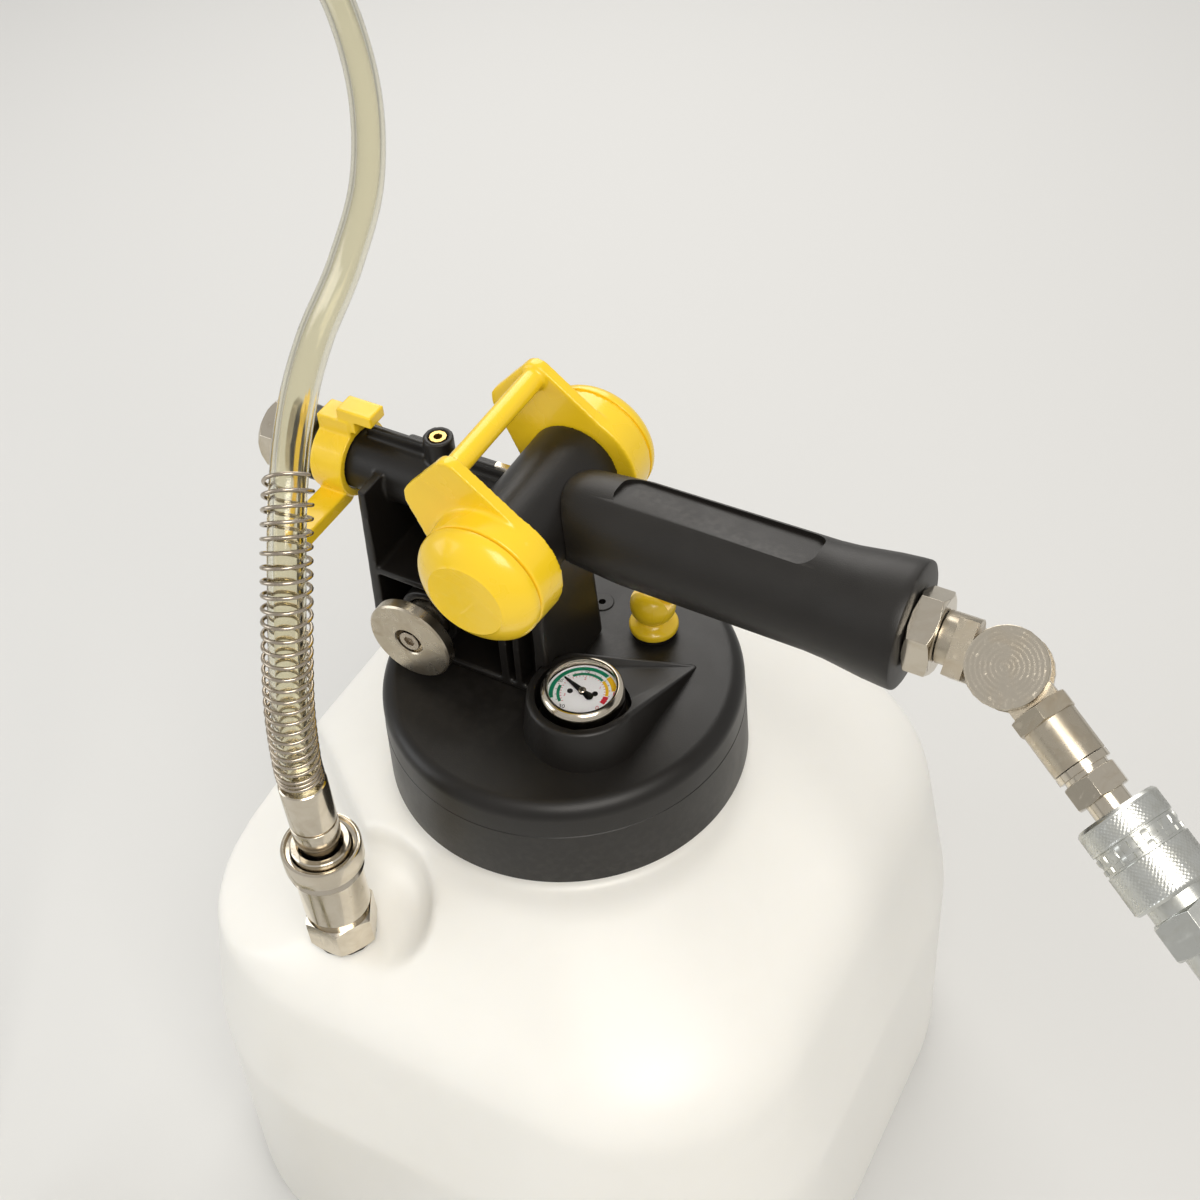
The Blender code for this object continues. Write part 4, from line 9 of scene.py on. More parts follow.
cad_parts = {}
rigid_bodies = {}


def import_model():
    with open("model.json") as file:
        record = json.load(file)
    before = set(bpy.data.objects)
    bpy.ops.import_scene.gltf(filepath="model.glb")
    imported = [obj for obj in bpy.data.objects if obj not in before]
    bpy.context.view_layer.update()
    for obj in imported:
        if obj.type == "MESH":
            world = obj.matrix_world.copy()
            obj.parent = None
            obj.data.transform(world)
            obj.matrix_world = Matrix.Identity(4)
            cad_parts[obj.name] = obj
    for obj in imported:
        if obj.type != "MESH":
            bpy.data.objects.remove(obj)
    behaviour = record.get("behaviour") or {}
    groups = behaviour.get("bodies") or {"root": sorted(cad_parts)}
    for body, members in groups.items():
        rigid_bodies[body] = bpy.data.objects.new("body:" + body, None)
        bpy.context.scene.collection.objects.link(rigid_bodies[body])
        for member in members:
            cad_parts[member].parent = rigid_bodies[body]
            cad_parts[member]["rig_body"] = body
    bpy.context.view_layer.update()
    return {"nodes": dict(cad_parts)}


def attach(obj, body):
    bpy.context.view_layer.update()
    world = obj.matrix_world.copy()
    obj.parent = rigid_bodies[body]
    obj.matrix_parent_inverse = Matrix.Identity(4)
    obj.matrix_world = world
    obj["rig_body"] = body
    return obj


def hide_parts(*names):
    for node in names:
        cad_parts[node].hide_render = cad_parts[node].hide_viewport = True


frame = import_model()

NODES = frame["nodes"]
MM = 0.001

# Distances in metres at which two points or two radii count as one
SAME_POINT = 0.000003
SAME_RADIUS = 0.0000001

# The photograph's camera: its lens, its axes and where it stands
LENS_LENGTH = 50
SENSOR_WIDTH = 36
CAMERA_RIGHT = (0.876567, 0.478106, -0.055187)
CAMERA_UP = (-0.309165, 0.647254, 0.696764)
CAMERA_PLACE = (0.211904, -0.313683, 0.668494)

# Places shared with the solids, in metres
BARREL_Z = 0.3256
TUBE_Y = 0.0060
TUBE_Z = 0.3120
CLIP_X = -0.0800
SELECTOR_X = -0.0410
SELECTOR_Z = 0.2705
LID_TOP_Z = 0.2513
SOCKET_X = -0.0400
SOCKET_Y = -0.0895
GAUGE_X = 0.0195
GAUGE_Y = -0.0190
RELIEF_X = 0.0205
RELIEF_Y = 0.0280
VENT_X = -0.002
VENT_Y = 0.032
INSERT_X = -0.0433
INSERT_Y = 0.0080
FERRULE_TOP_Z = 0.2688
KNUCKLE = (0.1480, -0.0030)
KNUCKLE_ROLL = math.radians(40)
KNUCKLE_BEND = math.radians(35)

# Clear hose, its coil on the floor and the spring that guards it, in metres
HOSE_DIAMETER = 0.0110
HOSE_BORE = 0.0074
HOSE_SIDES = 28
HOSE_FREE_SPACING = 0.004
HOSE_COIL_SPACING = 0.005
COIL_X = -0.0950
COIL_Y = -0.2145
COIL_OUTER_RADIUS = 0.0675
COIL_PITCH = 0.0122
COIL_LAYER_RISE = 0.0123
COIL_TURNS = 2.4
COIL_REVERSE_TURN = 1.5
COIL_CLIMB_TURNS = 0.5
COIL_POINTS_PER_TURN = 24
COIL_START_BEARING = math.radians(215)
COIL_FLOOR_GAP = 0.0013
COIL_LEAD = 0.0260
HOSE_ROUTE = [
    (-0.0395, -0.0895, 0.2810),
    (-0.0370, -0.0882, 0.3070),
    (-0.0370, -0.0795, 0.3370),
    (-0.0440, -0.0615, 0.3620),
    (-0.0540, -0.0400, 0.3735),
    (-0.0635, -0.0160, 0.3790),
    (-0.0735, 0.0150, 0.3825),
    (-0.0860, 0.0480, 0.3915),
    (-0.1060, 0.0780, 0.4070),
    (-0.1330, 0.1010, 0.4260),
    (-0.1650, 0.1130, 0.4430),
    (-0.1985, 0.1110, 0.4520),
    (-0.2280, 0.0920, 0.4490),
    (-0.2450, 0.0580, 0.4270),
    (-0.2480, 0.0170, 0.3870),
    (-0.2470, -0.0220, 0.3380),
    (-0.2430, -0.0560, 0.2850),
    (-0.2385, -0.0860, 0.2310),
    (-0.2320, -0.1110, 0.1750),
    (-0.2235, -0.1345, 0.1190),
    (-0.2130, -0.1585, 0.0680),
    (-0.2000, -0.1845, 0.0310),
    (-0.1850, -0.2105, 0.0135),
]
SPRING_WIRE = 0.0012
SPRING_CLEARANCE = 0.0008
SPRING_TURNS = 28
SPRING_LENGTH = 0.1070
SPRING_CLOSED_TURNS = 3
SPRING_CLOSED_PITCH = 0.0019
SPRING_STEPS_PER_TURN = 28
SPRING_SIDES = 10
SPRING_ROUTE_POINTS = 8
CURVE_STEPS = 24

# Printed dial, in millimetres but for the figures' height in metres
DIAL_TOP = 266.8
INK_THICKNESS = 0.03
FIGURE_THICKNESS = 0.03
FIGURE_Z = 0.26683
DIAL_LEVEL = math.radians(17)
DIAL_SCREW_REACH = 4.1

# Sleeve of the quick coupler, in millimetres along the swivel's leg
SLEEVE_START = 46.2
SLEEVE_RADIUS = 12.3
KNURL_PITCH = 1.3
KNURL_DEPTH = 0.17
KNURL_STEP = 0.32
KNURL_BANDS = ((47.9, 53.3), (60.3, 71.2))
SLOTTED_RADIUS = 12.2
SLOT_DEPTH = 0.45
SLOT_EDGE = 0.15
SLOTS = 18

# Studio lamps: name, place, width, power and colour
LAMP_AIM = (0.0, 0.0, 0.27)
LAMPS = [
    ("key", (0.55, -0.55, 1.25), 0.7, 9.0, (1.0, 0.96, 0.90)),
    ("rear", (-0.5, 0.9, 1.0), 0.9, 7.0, (1.0, 0.97, 0.93)),
    ("side", (-1.1, -0.7, 0.7), 0.8, 4.0, (0.94, 0.97, 1.0)),
]
WORLD_COLOUR = (1.0, 0.985, 0.96, 1)
WORLD_STRENGTH = 0.55
FLOOR_COLOUR = (0.66, 0.66, 0.65, 1)
FLOOR_GLOW = 0.04
FLOOR_REACH = 6


def new_object(name, data):
    """A new object in the scene that holds a mesh, a curve, a lamp or a camera."""
    thing = bpy.data.objects.new(name, data)
    bpy.context.scene.collection.objects.link(thing)
    return thing


def make_camera():
    """The photograph's viewpoint, fitted to the round and square pieces."""
    lens = bpy.data.cameras.new("camera")
    lens.lens = LENS_LENGTH
    lens.sensor_width = SENSOR_WIDTH
    lens.clip_start = 0.01
    lens.clip_end = 20
    camera = new_object("camera", lens)
    right = Vector(CAMERA_RIGHT)
    back = right.cross(Vector(CAMERA_UP)).normalized()
    up = back.cross(right).normalized()
    place = Matrix((right, up, back)).transposed().to_4x4()
    place.translation = CAMERA_PLACE
    camera.matrix_world = place
    bpy.context.scene.camera = camera


def running_lengths(points):
    """Length along a line up to each of its points."""
    lengths = [0.0]
    for a, b in zip(points, points[1:]):
        lengths.append(lengths[-1] + (b - a).length)
    return lengths


def smooth_points(points, spacing):
    """Evenly spaced points on a smooth curve through the given ones."""
    knots = [Vector(p) for p in points]
    ends = [knots[0] * 2 - knots[1], *knots, knots[-1] * 2 - knots[-2]]
    fine = []
    for k in range(1, len(ends) - 2):
        before, here, there, after = ends[k - 1 : k + 3]
        for step in range(CURVE_STEPS):
            t = step / CURVE_STEPS
            square = before * 2 - here * 5 + there * 4 - after
            cube = here * 3 - before - there * 3 + after
            fine.append((here * 2 + (there - before) * t + square * t**2 + cube * t**3) / 2)
    fine.append(knots[-1])
    lengths = running_lengths(fine)
    count = max(2, round(lengths[-1] / spacing))
    made = []
    index = 0
    for k in range(count + 1):
        wanted = lengths[-1] * k / count
        while index < len(fine) - 2 and lengths[index + 1] < wanted:
            index += 1
        span = lengths[index + 1] - lengths[index]
        made.append(fine[index].lerp(fine[index + 1], (wanted - lengths[index]) / span))
    return made


def side_frames(points):
    """A pair of side directions at each point, turned as little as possible along the line."""
    frames = []
    side = Vector((1, 0, 0))
    for k in range(len(points)):
        along = (points[min(k + 1, len(points) - 1)] - points[max(k - 1, 0)]).normalized()
        side = (side - along * side.dot(along)).normalized()
        frames.append((side.copy(), along.cross(side)))
    return frames


def coil_place(turn):
    """Point of the coil after some turns: inward on the floor, then outward a layer higher."""
    bearing = COIL_START_BEARING + math.tau * turn
    inmost = COIL_OUTER_RADIUS - COIL_PITCH * COIL_REVERSE_TURN
    radius = inmost + COIL_PITCH * abs(turn - COIL_REVERSE_TURN)
    start = COIL_REVERSE_TURN - COIL_CLIMB_TURNS / 2
    climbed = min(1.0, max(0.0, (turn - start) / COIL_CLIMB_TURNS))
    height = COIL_FLOOR_GAP + HOSE_DIAMETER / 2 + COIL_LAYER_RISE * climbed
    x = COIL_X + radius * math.cos(bearing)
    return Vector((x, COIL_Y + radius * math.sin(bearing), height))


def coil_points():
    """The coil's points, with one more straight on at either end."""
    count = round(COIL_TURNS * COIL_POINTS_PER_TURN)
    points = [coil_place(k / COIL_POINTS_PER_TURN) for k in range(count + 1)]
    first = (points[0] - points[1]).normalized()
    last = (points[-1] - points[-2]).normalized()
    return [points[0] + first * HOSE_DIAMETER, *points, points[-1] + last * HOSE_DIAMETER]


def hose_knots():
    """Route of the hose: out of the ferrule, over the head, down on the left and into its coil."""
    coil = coil_points()
    start = Vector((SOCKET_X, SOCKET_Y, FERRULE_TOP_Z))
    back = (coil[0] - coil[1]).normalized()
    lead = coil[0] + back * COIL_LEAD
    return [start, *[Vector(p) for p in HOSE_ROUTE], lead], coil


# Mesh helpers


def polar(radius, bearing):
    """Flat point by its radius and bearing."""
    return radius * math.cos(bearing), radius * math.sin(bearing)


def full_turn(steps):
    """Evenly spaced bearings all the way round."""
    return [math.tau * k / steps for k in range(steps)]


def quarter_turn(steps):
    """Evenly spaced bearings from 0 to 90 degrees, both included."""
    return [math.pi / 2 * k / steps for k in range(steps + 1)]


def link(name, mesh, body="extractor", material=None, replaces=(), smooth=40):
    """A new piece of one material that rides on a body and may stand for solids.

    Edges sharper than the angle smooth, in degrees, stay sharp.
    """
    piece = new_object(name, mesh)
    mesh.shade_smooth()
    mesh.set_sharp_from_angle(angle=math.radians(smooth))
    mesh.materials.clear()
    mesh.materials.append(material)
    mesh.polygons.foreach_set("material_index", [0] * len(mesh.polygons))
    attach(piece, body)
    if replaces:
        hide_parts(*([replaces] if isinstance(replaces, str) else replaces))
    return piece


def to_mesh(name, shape, place=None):
    """Mesh of a shape, moved to its place where one is given. The shape is used up."""
    bmesh.ops.recalc_face_normals(shape, faces=shape.faces)
    mesh = bpy.data.meshes.new(name)
    if place is not None:
        shape.transform(place)
    shape.to_mesh(mesh)
    shape.free()
    return mesh


def ring_shape(rings, closed_rows):
    """Quads between rings of equal count. The rows close on themselves, or end in caps."""
    shape = bmesh.new()
    loops = [[shape.verts.new(p) for p in ring] for ring in rings]
    pairs = list(zip(loops, loops[1:]))
    if closed_rows:
        pairs.append((loops[-1], loops[0]))
    count = len(loops[0])
    for low, high in pairs:
        for k in range(count):
            after = (k + 1) % count
            shape.faces.new((low[k], low[after], high[after], high[k]))
    if not closed_rows:
        shape.faces.new(loops[0][::-1])
        shape.faces.new(loops[-1])
    return shape


def turned_shape(outline, steps, wave=None):
    """Solid of revolution about Z from (radius, height) in millimetres.

    wave gives another radius for a radius, a height and a bearing, in metres.
    """
    shape = bmesh.new()
    rings = []
    for radius, height in ((a * MM, b * MM) for a, b in outline):
        if radius == 0:
            rings.append([shape.verts.new((0, 0, height))])
            continue
        ring = []
        for bearing in full_turn(steps):
            reach = radius if wave is None else wave(radius, height, bearing)
            ring.append(shape.verts.new((*polar(reach, bearing), height)))
        rings.append(ring)
    pairs = list(zip(rings, rings[1:]))
    if outline[0][0] != 0:
        pairs.append((rings[-1], rings[0]))
    for low, high in pairs:
        for k in range(steps):
            after = (k + 1) % steps
            if len(low) == 1 and len(high) == 1:
                break
            if len(low) == 1:
                shape.faces.new((low[0], high[k], high[after]))
            elif len(high) == 1:
                shape.faces.new((low[k], high[0], low[after]))
            else:
                shape.faces.new((low[k], high[k], high[after], low[after]))
    return shape


def turned_mesh(name, outline, steps, place=None, wave=None):
    """Mesh turned about Z from (radius, height) in millimetres, and moved to its place."""
    return to_mesh(name, turned_shape(outline, steps, wave), place)


def tube_mesh(name, points, radius, bore, sides):
    """Hollow tube along points, or a solid one where bore is zero."""
    frames = side_frames(points)

    def ring(centre, frame_pair, reach):
        side, across = frame_pair
        made = []
        for t in full_turn(sides):
            made.append(centre + side * (reach * math.cos(t)) + across * (reach * math.sin(t)))
        return made

    outer = [ring(p, f, radius) for p, f in zip(points, frames)]
    if not bore:
        return to_mesh(name, ring_shape(outer, False))
    inner = [ring(p, f, bore) for p, f in zip(points, frames)]
    return to_mesh(name, ring_shape(outer + inner[::-1], True))


# Solids joined, cut and softened


def box_shape(low, high):
    """Plain block by two corners, in millimetres."""
    shape = bmesh.new()
    bmesh.ops.create_cube(shape, size=1)
    size = [(b - a) * MM for a, b in zip(low, high)]
    middle = [(a + b) / 2 * MM for a, b in zip(low, high)]
    shape.transform(Matrix.Translation(middle) @ Matrix.Diagonal((*size, 1)))
    return shape


def rod_shape(radius, low, high, steps):
    """Solid cylinder about Z, in millimetres."""
    return turned_shape([(0, low), (radius, low), (radius, high), (0, high)], steps)


def loft_shape(loops):
    """Closed solid through loops of equal count, in millimetres."""
    return ring_shape([[Vector(p) * MM for p in loop] for loop in loops], False)


def rounded_box_loop(half_x, half_y, corner, z, steps, middle=(0, 0)):
    """Rounded rectangle as a loop of points, in millimetres."""
    corner = min(corner, half_x, half_y)
    made = []
    for quarter, (sx, sy) in enumerate(((1, 1), (-1, 1), (-1, -1), (1, -1))):
        cx = middle[0] + sx * (half_x - corner)
        cy = middle[1] + sy * (half_y - corner)
        for k in range(steps + 1):
            bearing = math.pi / 2 * (quarter + k / steps)
            made.append((cx + corner * math.cos(bearing), cy + corner * math.sin(bearing), z))
    return made


def hull_loop(circles, z, steps):
    """Outline round circles (x, y, radius), as the outermost point at each bearing."""
    made = []
    for bearing in full_turn(steps):
        way = polar(1, bearing)
        x, y, radius = max(circles, key=lambda c: c[0] * way[0] + c[1] * way[1] + c[2])
        made.append((x + radius * way[0], y + radius * way[1], z))
    return made


def bake(thing):
    """Mesh of a passing object with its modifiers worked in. The object is used up."""
    bpy.context.view_layer.update()
    finished = thing.evaluated_get(bpy.context.evaluated_depsgraph_get())
    mesh = bpy.data.meshes.new_from_object(finished)
    bpy.data.objects.remove(thing)
    return mesh


def part_mesh(part):
    """A mesh from a mesh, a shape or (shape, placement)."""
    if isinstance(part, bpy.types.Mesh):
        return part
    shape, place = part if isinstance(part, tuple) else (part, None)
    return to_mesh("part", shape, place)


def merged(parts):
    """One mesh of several closed parts that may run into each other."""
    whole = bmesh.new()
    for part in parts:
        whole.from_mesh(part_mesh(part))
    mesh = bpy.data.meshes.new("merged")
    whole.to_mesh(mesh)
    whole.free()
    return mesh


def remeshed(mesh, voxel, relax):
    """Closed skin over a mesh, at one voxel size in millimetres, with its edges softened."""
    thing = new_object("helper", mesh)
    fine = thing.modifiers.new("skin", "REMESH")
    fine.mode = "VOXEL"
    fine.voxel_size = voxel * MM
    if relax:
        soft = thing.modifiers.new("soft", "SMOOTH")
        soft.factor = 0.5
        soft.iterations = relax
    return bake(thing)


def combined(mesh, parts, how):
    """A closed mesh with each of the parts joined on (UNION) or cut away (DIFFERENCE)."""
    thing = new_object("helper", mesh)
    used = []
    for part in parts:
        other = new_object("helper", part_mesh(part))
        used.append(other)
        step = thing.modifiers.new("step", "BOOLEAN")
        step.operation = how
        step.solver = "MANIFOLD"
        step.object = other
    made = bake(thing)
    for other in used:
        bpy.data.objects.remove(other)
    return made


def moulded(parts, cutters, voxel, relax):
    """Parts run together, cut, and given moulded edges."""
    mesh = remeshed(merged(parts), voxel, 0)
    if cutters:
        mesh = combined(mesh, cutters, "DIFFERENCE")
    return remeshed(mesh, voxel, relax)


def add_edge(piece, width):
    """Rounds the piece's sharp edges by a width in millimetres."""
    edge = piece.modifiers.new("edge", "BEVEL")
    edge.width = width * MM
    edge.segments = 2
    edge.limit_method = "ANGLE"
    edge.angle_limit = math.radians(38)


def refine(name, material, bevel):
    """A finer copy of a solid: flat areas merged, rounds shaded smooth, edges slightly rounded."""
    node = NODES[name]
    shape = bmesh.new()
    shape.from_mesh(node.data)
    bmesh.ops.remove_doubles(shape, verts=shape.verts, dist=SAME_POINT)
    flat = math.radians(0.6)
    bmesh.ops.dissolve_limit(shape, angle_limit=flat, verts=shape.verts, edges=shape.edges)
    title = f"{name}_fine"
    piece = link(title, to_mesh(title, shape), node["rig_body"], material, name, smooth=180)
    if bevel:
        add_edge(piece, bevel)
    even = piece.modifiers.new("even", "WEIGHTED_NORMAL")
    even.keep_sharp = True


# Material helpers


def put(tree, kind, sockets=None, **settings):
    """A node with its settings; sockets take a value or another node's socket."""
    node = tree.nodes.new(kind)
    for label, value in settings.items():
        setattr(node, label, value)
    for label, value in (sockets or {}).items():
        if isinstance(value, bpy.types.NodeSocket):
            tree.links.new(value, node.inputs[label])
        else:
            node.inputs[label].default_value = value
    return node


def start_group(name, inputs):
    """A surface group with its inputs, which puts out a colour, a roughness and a height."""
    group = bpy.data.node_groups.new(name, "ShaderNodeTree")
    sockets = group.interface
    for label, kind, value in inputs:
        socket = sockets.new_socket(label, in_out="INPUT", socket_type=f"NodeSocket{kind}")
        socket.default_value = value
    for label, kind in (("Colour", "Color"), ("Roughness", "Float"), ("Height", "Float")):
        sockets.new_socket(label, in_out="OUTPUT", socket_type=f"NodeSocket{kind}")
    given = group.nodes.new("NodeGroupInput").outputs
    return group, given, group.nodes.new("NodeGroupOutput").inputs


def ramp(tree, source, low, high, to_low=0.0, to_high=1.0):
    """Maps a value from one range to another, without going past its ends."""
    sockets = {0: source, 1: low, 2: high, 3: to_low, 4: to_high}
    return put(tree, "ShaderNodeMapRange", sockets).outputs[0]


def blend_colour(tree, share, first, second):
    """Goes from one colour to another by a share."""
    mixed = put(tree, "ShaderNodeMix", {0: share, 6: first, 7: second}, data_type="RGBA")
    return mixed.outputs[2]


def noise(tree, place, scale, detail, distortion=0.0):
    """Noise value at a place."""
    sockets = {"Vector": place, "Scale": scale, "Detail": detail, "Distortion": distortion}
    return put(tree, "ShaderNodeTexNoise", sockets).outputs[0]


def product(tree, first, second):
    """One value times another."""
    return put(tree, "ShaderNodeMath", {0: first, 1: second}, operation="MULTIPLY").outputs[0]


def total(tree, first, second):
    """Sum of two values."""
    return put(tree, "ShaderNodeMath", {0: first, 1: second}).outputs[0]


def moulding_group():
    """Moulded plastic: fine grain, faint flow shade, and edges made paler by pointiness, partly
    rubbed wear and partly a painted edge highlight.
    """
    inputs = [
        ("Colour", "Color", (0.5, 0.5, 0.5, 1)),
        ("Rubbed And Highlit Colour", "Color", (0.6, 0.6, 0.6, 1)),
        ("Roughness", "Float", 0.4),
        ("Grain Scale", "Float", 2600.0),
        ("Rub And Highlight Amount", "Float", 0.5),
        ("Flow", "Float", 0.1),
    ]
    group, given, made = start_group("moulded_plastic", inputs)
    place = put(group, "ShaderNodeTexCoord").outputs["Object"]
    grain = noise(group, place, given["Grain Scale"], 3.0)
    flow = noise(group, place, 38.0, 4.0, 0.8)
    # Pointiness mask for the paler edges: partly rubbed wear, partly a painted edge highlight
    edge = ramp(group, put(group, "ShaderNodeNewGeometry").outputs["Pointiness"], 0.515, 0.62)
    patchy = ramp(group, noise(group, place, 420.0, 5.0), 0.42, 0.66)
    rubbed_and_highlit = product(group, product(group, edge, patchy), given["Rub And Highlight Amount"])
    swing = product(group, ramp(group, flow, 0.3, 0.7, -1.0, 1.0), given["Flow"])
    sockets = {"Vector": given["Colour"], "Scale": total(group, swing, 1.0)}
    tone = put(group, "ShaderNodeVectorMath", sockets, operation="SCALE").outputs[0]
    # Paler colour on the edges: rubbed wear and painted edge highlight together
    colour = blend_colour(group, rubbed_and_highlit, tone, given["Rubbed And Highlit Colour"])
    rough = total(group, given["Roughness"], ramp(group, flow, 0.3, 0.7, -0.05, 0.06))
    for label, value in (("Colour", colour), ("Roughness", rough), ("Height", grain)):
        group.links.new(value, made[label])
    return group


def metal_group():
    """Turned or plated metal: cloudy stains and hairline scratches."""
    inputs = [
        ("Colour", "Color", (0.7, 0.7, 0.7, 1)),
        ("Stain", "Color", (0.4, 0.35, 0.25, 1)),
        ("Roughness", "Float", 0.25),
        ("Stain Amount", "Float", 0.3),
        ("Scratch Scale", "Float", 900.0),
    ]
    group, given, made = start_group("worked_metal", inputs)
    place = put(group, "ShaderNodeTexCoord").outputs["Object"]
    cloud = noise(group, place, 130.0, 6.0, 1.2)
    stained = product(group, ramp(group, cloud, 0.45, 0.72), given["Stain Amount"])
    along = put(group, "ShaderNodeMapping", {"Vector": place, "Scale": (1.0, 1.0, 0.06)}).outputs[0]
    hair = noise(group, along, given["Scratch Scale"], 6.0)
    colour = blend_colour(group, stained, given["Colour"], given["Stain"])
    rough = total(group, product(group, ramp(group, hair, 0.58, 0.72), 0.12), given["Roughness"])
    rough = total(group, rough, ramp(group, cloud, 0.3, 0.8, 0.0, 0.10))
    for label, value in (("Colour", colour), ("Roughness", rough), ("Height", hair)):
        group.links.new(value, made[label])
    return group


def new_material(name, **uniform):
    """A material with plain values given by the names of the shader's inputs."""
    made = bpy.data.materials.new(name)
    made.use_nodes = True
    shader = made.node_tree.nodes["Principled BSDF"]
    for label, value in uniform.items():
        shader.inputs[label.replace("_", " ")].default_value = value
    return made, made.node_tree, shader


def skin(name, group, values, bump, distance, **uniform):
    """A material whose colour, roughness and bump come from one of the groups."""
    made, tree, shader = new_material(name, **uniform)
    effect = tree.nodes.new("ShaderNodeGroup")
    effect.node_tree = group
    for label, value in values.items():
        effect.inputs[label].default_value = value
    tree.links.new(effect.outputs["Colour"], shader.inputs["Base Color"])
    tree.links.new(effect.outputs["Roughness"], shader.inputs["Roughness"])
    sockets = {"Height": effect.outputs["Height"], "Strength": bump, "Distance": distance}
    lift = put(tree, "ShaderNodeBump", sockets)
    tree.links.new(lift.outputs["Normal"], shader.inputs["Normal"])
    return made


MOULDING = moulding_group()
METAL = metal_group()

# Depths of the bumps, in metres
GRAIN_DEPTH = 0.00012
SCRATCH_DEPTH = 0.00006


def plastic(
    name, colour, rubbed_and_highlit, roughness, rub_and_highlight_amount=0.5, grain=2600.0, bump=0.25, flow=0.1, **uniform
):
    """Moulded plastic, rubber or ink of one colour."""
    values = {
        "Colour": (*colour, 1),
        # Colour and amount of the paler edges: rubbed wear and painted edge highlight
        "Rubbed And Highlit Colour": (*rubbed_and_highlit, 1),
        "Roughness": roughness,
        "Grain Scale": grain,
        "Rub And Highlight Amount": rub_and_highlight_amount,
        "Flow": flow,
    }
    return skin(name, MOULDING, values, bump, GRAIN_DEPTH, **uniform)


def metal(name, colour, stain, roughness, amount, scratch=900.0):
    """Turned, cast or plated metal of one colour."""
    values = {
        "Colour": (*colour, 1),
        "Stain": (*stain, 1),
        "Roughness": roughness,
        "Stain Amount": amount,
        "Scratch Scale": scratch,
    }
    return skin(name, METAL, values, 0.12, SCRATCH_DEPTH, Metallic=1.0)


def print_colour(name, colour, rubbed_and_highlit, roughness=0.5, bump=0.02, flow=0.02):
    """Smooth printed ink or paint, with no wear and no painted edge highlight."""
    return plastic(name, colour, rubbed_and_highlit, roughness, 0.0, 3000.0, bump, flow)


# Finishes: name, colour, colour of the rubbed and painted highlit edges, and roughness, then what
# differs from a plain moulding

BLACK = plastic(
    "satin_black",
    (0.0085, 0.0072, 0.0060),
    (0.05, 0.045, 0.04),
    0.38,
    Specular_IOR_Level=0.42,
)
GRIP_BLACK = plastic(
    "grip_black",
    (0.0105, 0.0090, 0.0075),
    (0.06, 0.055, 0.05),
    0.43,
    grain=3200.0,
    bump=0.35,
    Specular_IOR_Level=0.42,
)
YELLOW = plastic(
    "bail_yellow",
    (0.95, 0.64, 0.018),
    (1.0, 0.78, 0.16),
    0.26,
    rub_and_highlight_amount=0.25,
    grain=900.0,
    bump=0.05,
    flow=0.03,
    Coat_Weight=0.3,
)
TANK_WHITE = plastic(
    "milky_tank",
    (0.94, 0.92, 0.865),
    (0.95, 0.93, 0.88),
    0.33,
    rub_and_highlight_amount=0.0,
    grain=420.0,
    bump=0.06,
    flow=0.008,
    Subsurface_Weight=0.25,
    Subsurface_Radius=(1.0, 0.95, 0.85),
    Subsurface_Scale=0.003,
)

# Metals: name, colour, stain, roughness, amount of stain and scale of the scratches

NICKEL = metal("bright_nickel", (0.66, 0.60, 0.50), (0.36, 0.28, 0.17), 0.11, 0.25)
STEEL = metal("spring_steel", (0.50, 0.44, 0.36), (0.26, 0.19, 0.12), 0.20, 0.35)
ZINC = metal("cast_zinc", (0.55, 0.49, 0.39), (0.34, 0.26, 0.16), 0.24, 0.45, 500.0)
KNURLED = metal("pale_zinc_plate", (0.66, 0.67, 0.64), (0.42, 0.41, 0.34), 0.26, 0.4, 700.0)
BRASS = metal("soft_brass", (0.80, 0.56, 0.20), (0.40, 0.25, 0.08), 0.28, 0.5)

# Rubber, printed dial and needle

RUBBER = plastic(
    "black_rubber",
    (0.008, 0.008, 0.008),
    (0.04, 0.04, 0.04),
    0.72,
    rub_and_highlight_amount=0.4,
    grain=1600.0,
    bump=0.4,
)
WHITE = print_colour("printed_white", (0.92, 0.92, 0.94), (0.95, 0.95, 0.95), 0.42, 0.03, 0.0)
NEEDLE = plastic("needle_black", (0.006, 0.006, 0.006), (0.03, 0.03, 0.03), 0.36, rub_and_highlight_amount=0.2)
INK = print_colour("black_ink", (0.012, 0.012, 0.012), (0.03, 0.03, 0.03), flow=0.0)
GREEN_INK = print_colour("green_ink", (0.0, 0.23, 0.11), (0.0, 0.25, 0.14))
YELLOW_INK = print_colour("yellow_ink", (0.90, 0.52, 0.01), (0.9, 0.6, 0.1))
RED_INK = print_colour("red_ink", (0.62, 0.012, 0.03), (0.65, 0.05, 0.06))


def clear_material(name, tint, roughness, ior):
    """Clear plastic: plain transmission with faint cloudiness in its roughness and bump."""
    made, tree, shader = new_material(name, Transmission_Weight=1.0, IOR=ior, Metallic=0.0)
    shader.inputs["Base Color"].default_value = (*tint, 1)
    place = put(tree, "ShaderNodeTexCoord").outputs["Object"]
    cloud = noise(tree, place, 60.0, 4.0)
    uneven = ramp(tree, cloud, 0.3, 0.7, roughness * 0.6, roughness * 1.5)
    tree.links.new(uneven, shader.inputs["Roughness"])
    lift = put(tree, "ShaderNodeBump", {"Height": cloud, "Strength": 0.06, "Distance": 0.0005})
    tree.links.new(lift.outputs["Normal"], shader.inputs["Normal"])
    return made


CLEAR_VINYL = clear_material("clear_vinyl", (0.90, 0.87, 0.73), 0.07, 1.42)
CLEAR_LENS = clear_material("clear_lens", (0.99, 0.99, 0.99), 0.02, 1.10)

# Where each group of pieces is made: its own axis along Z

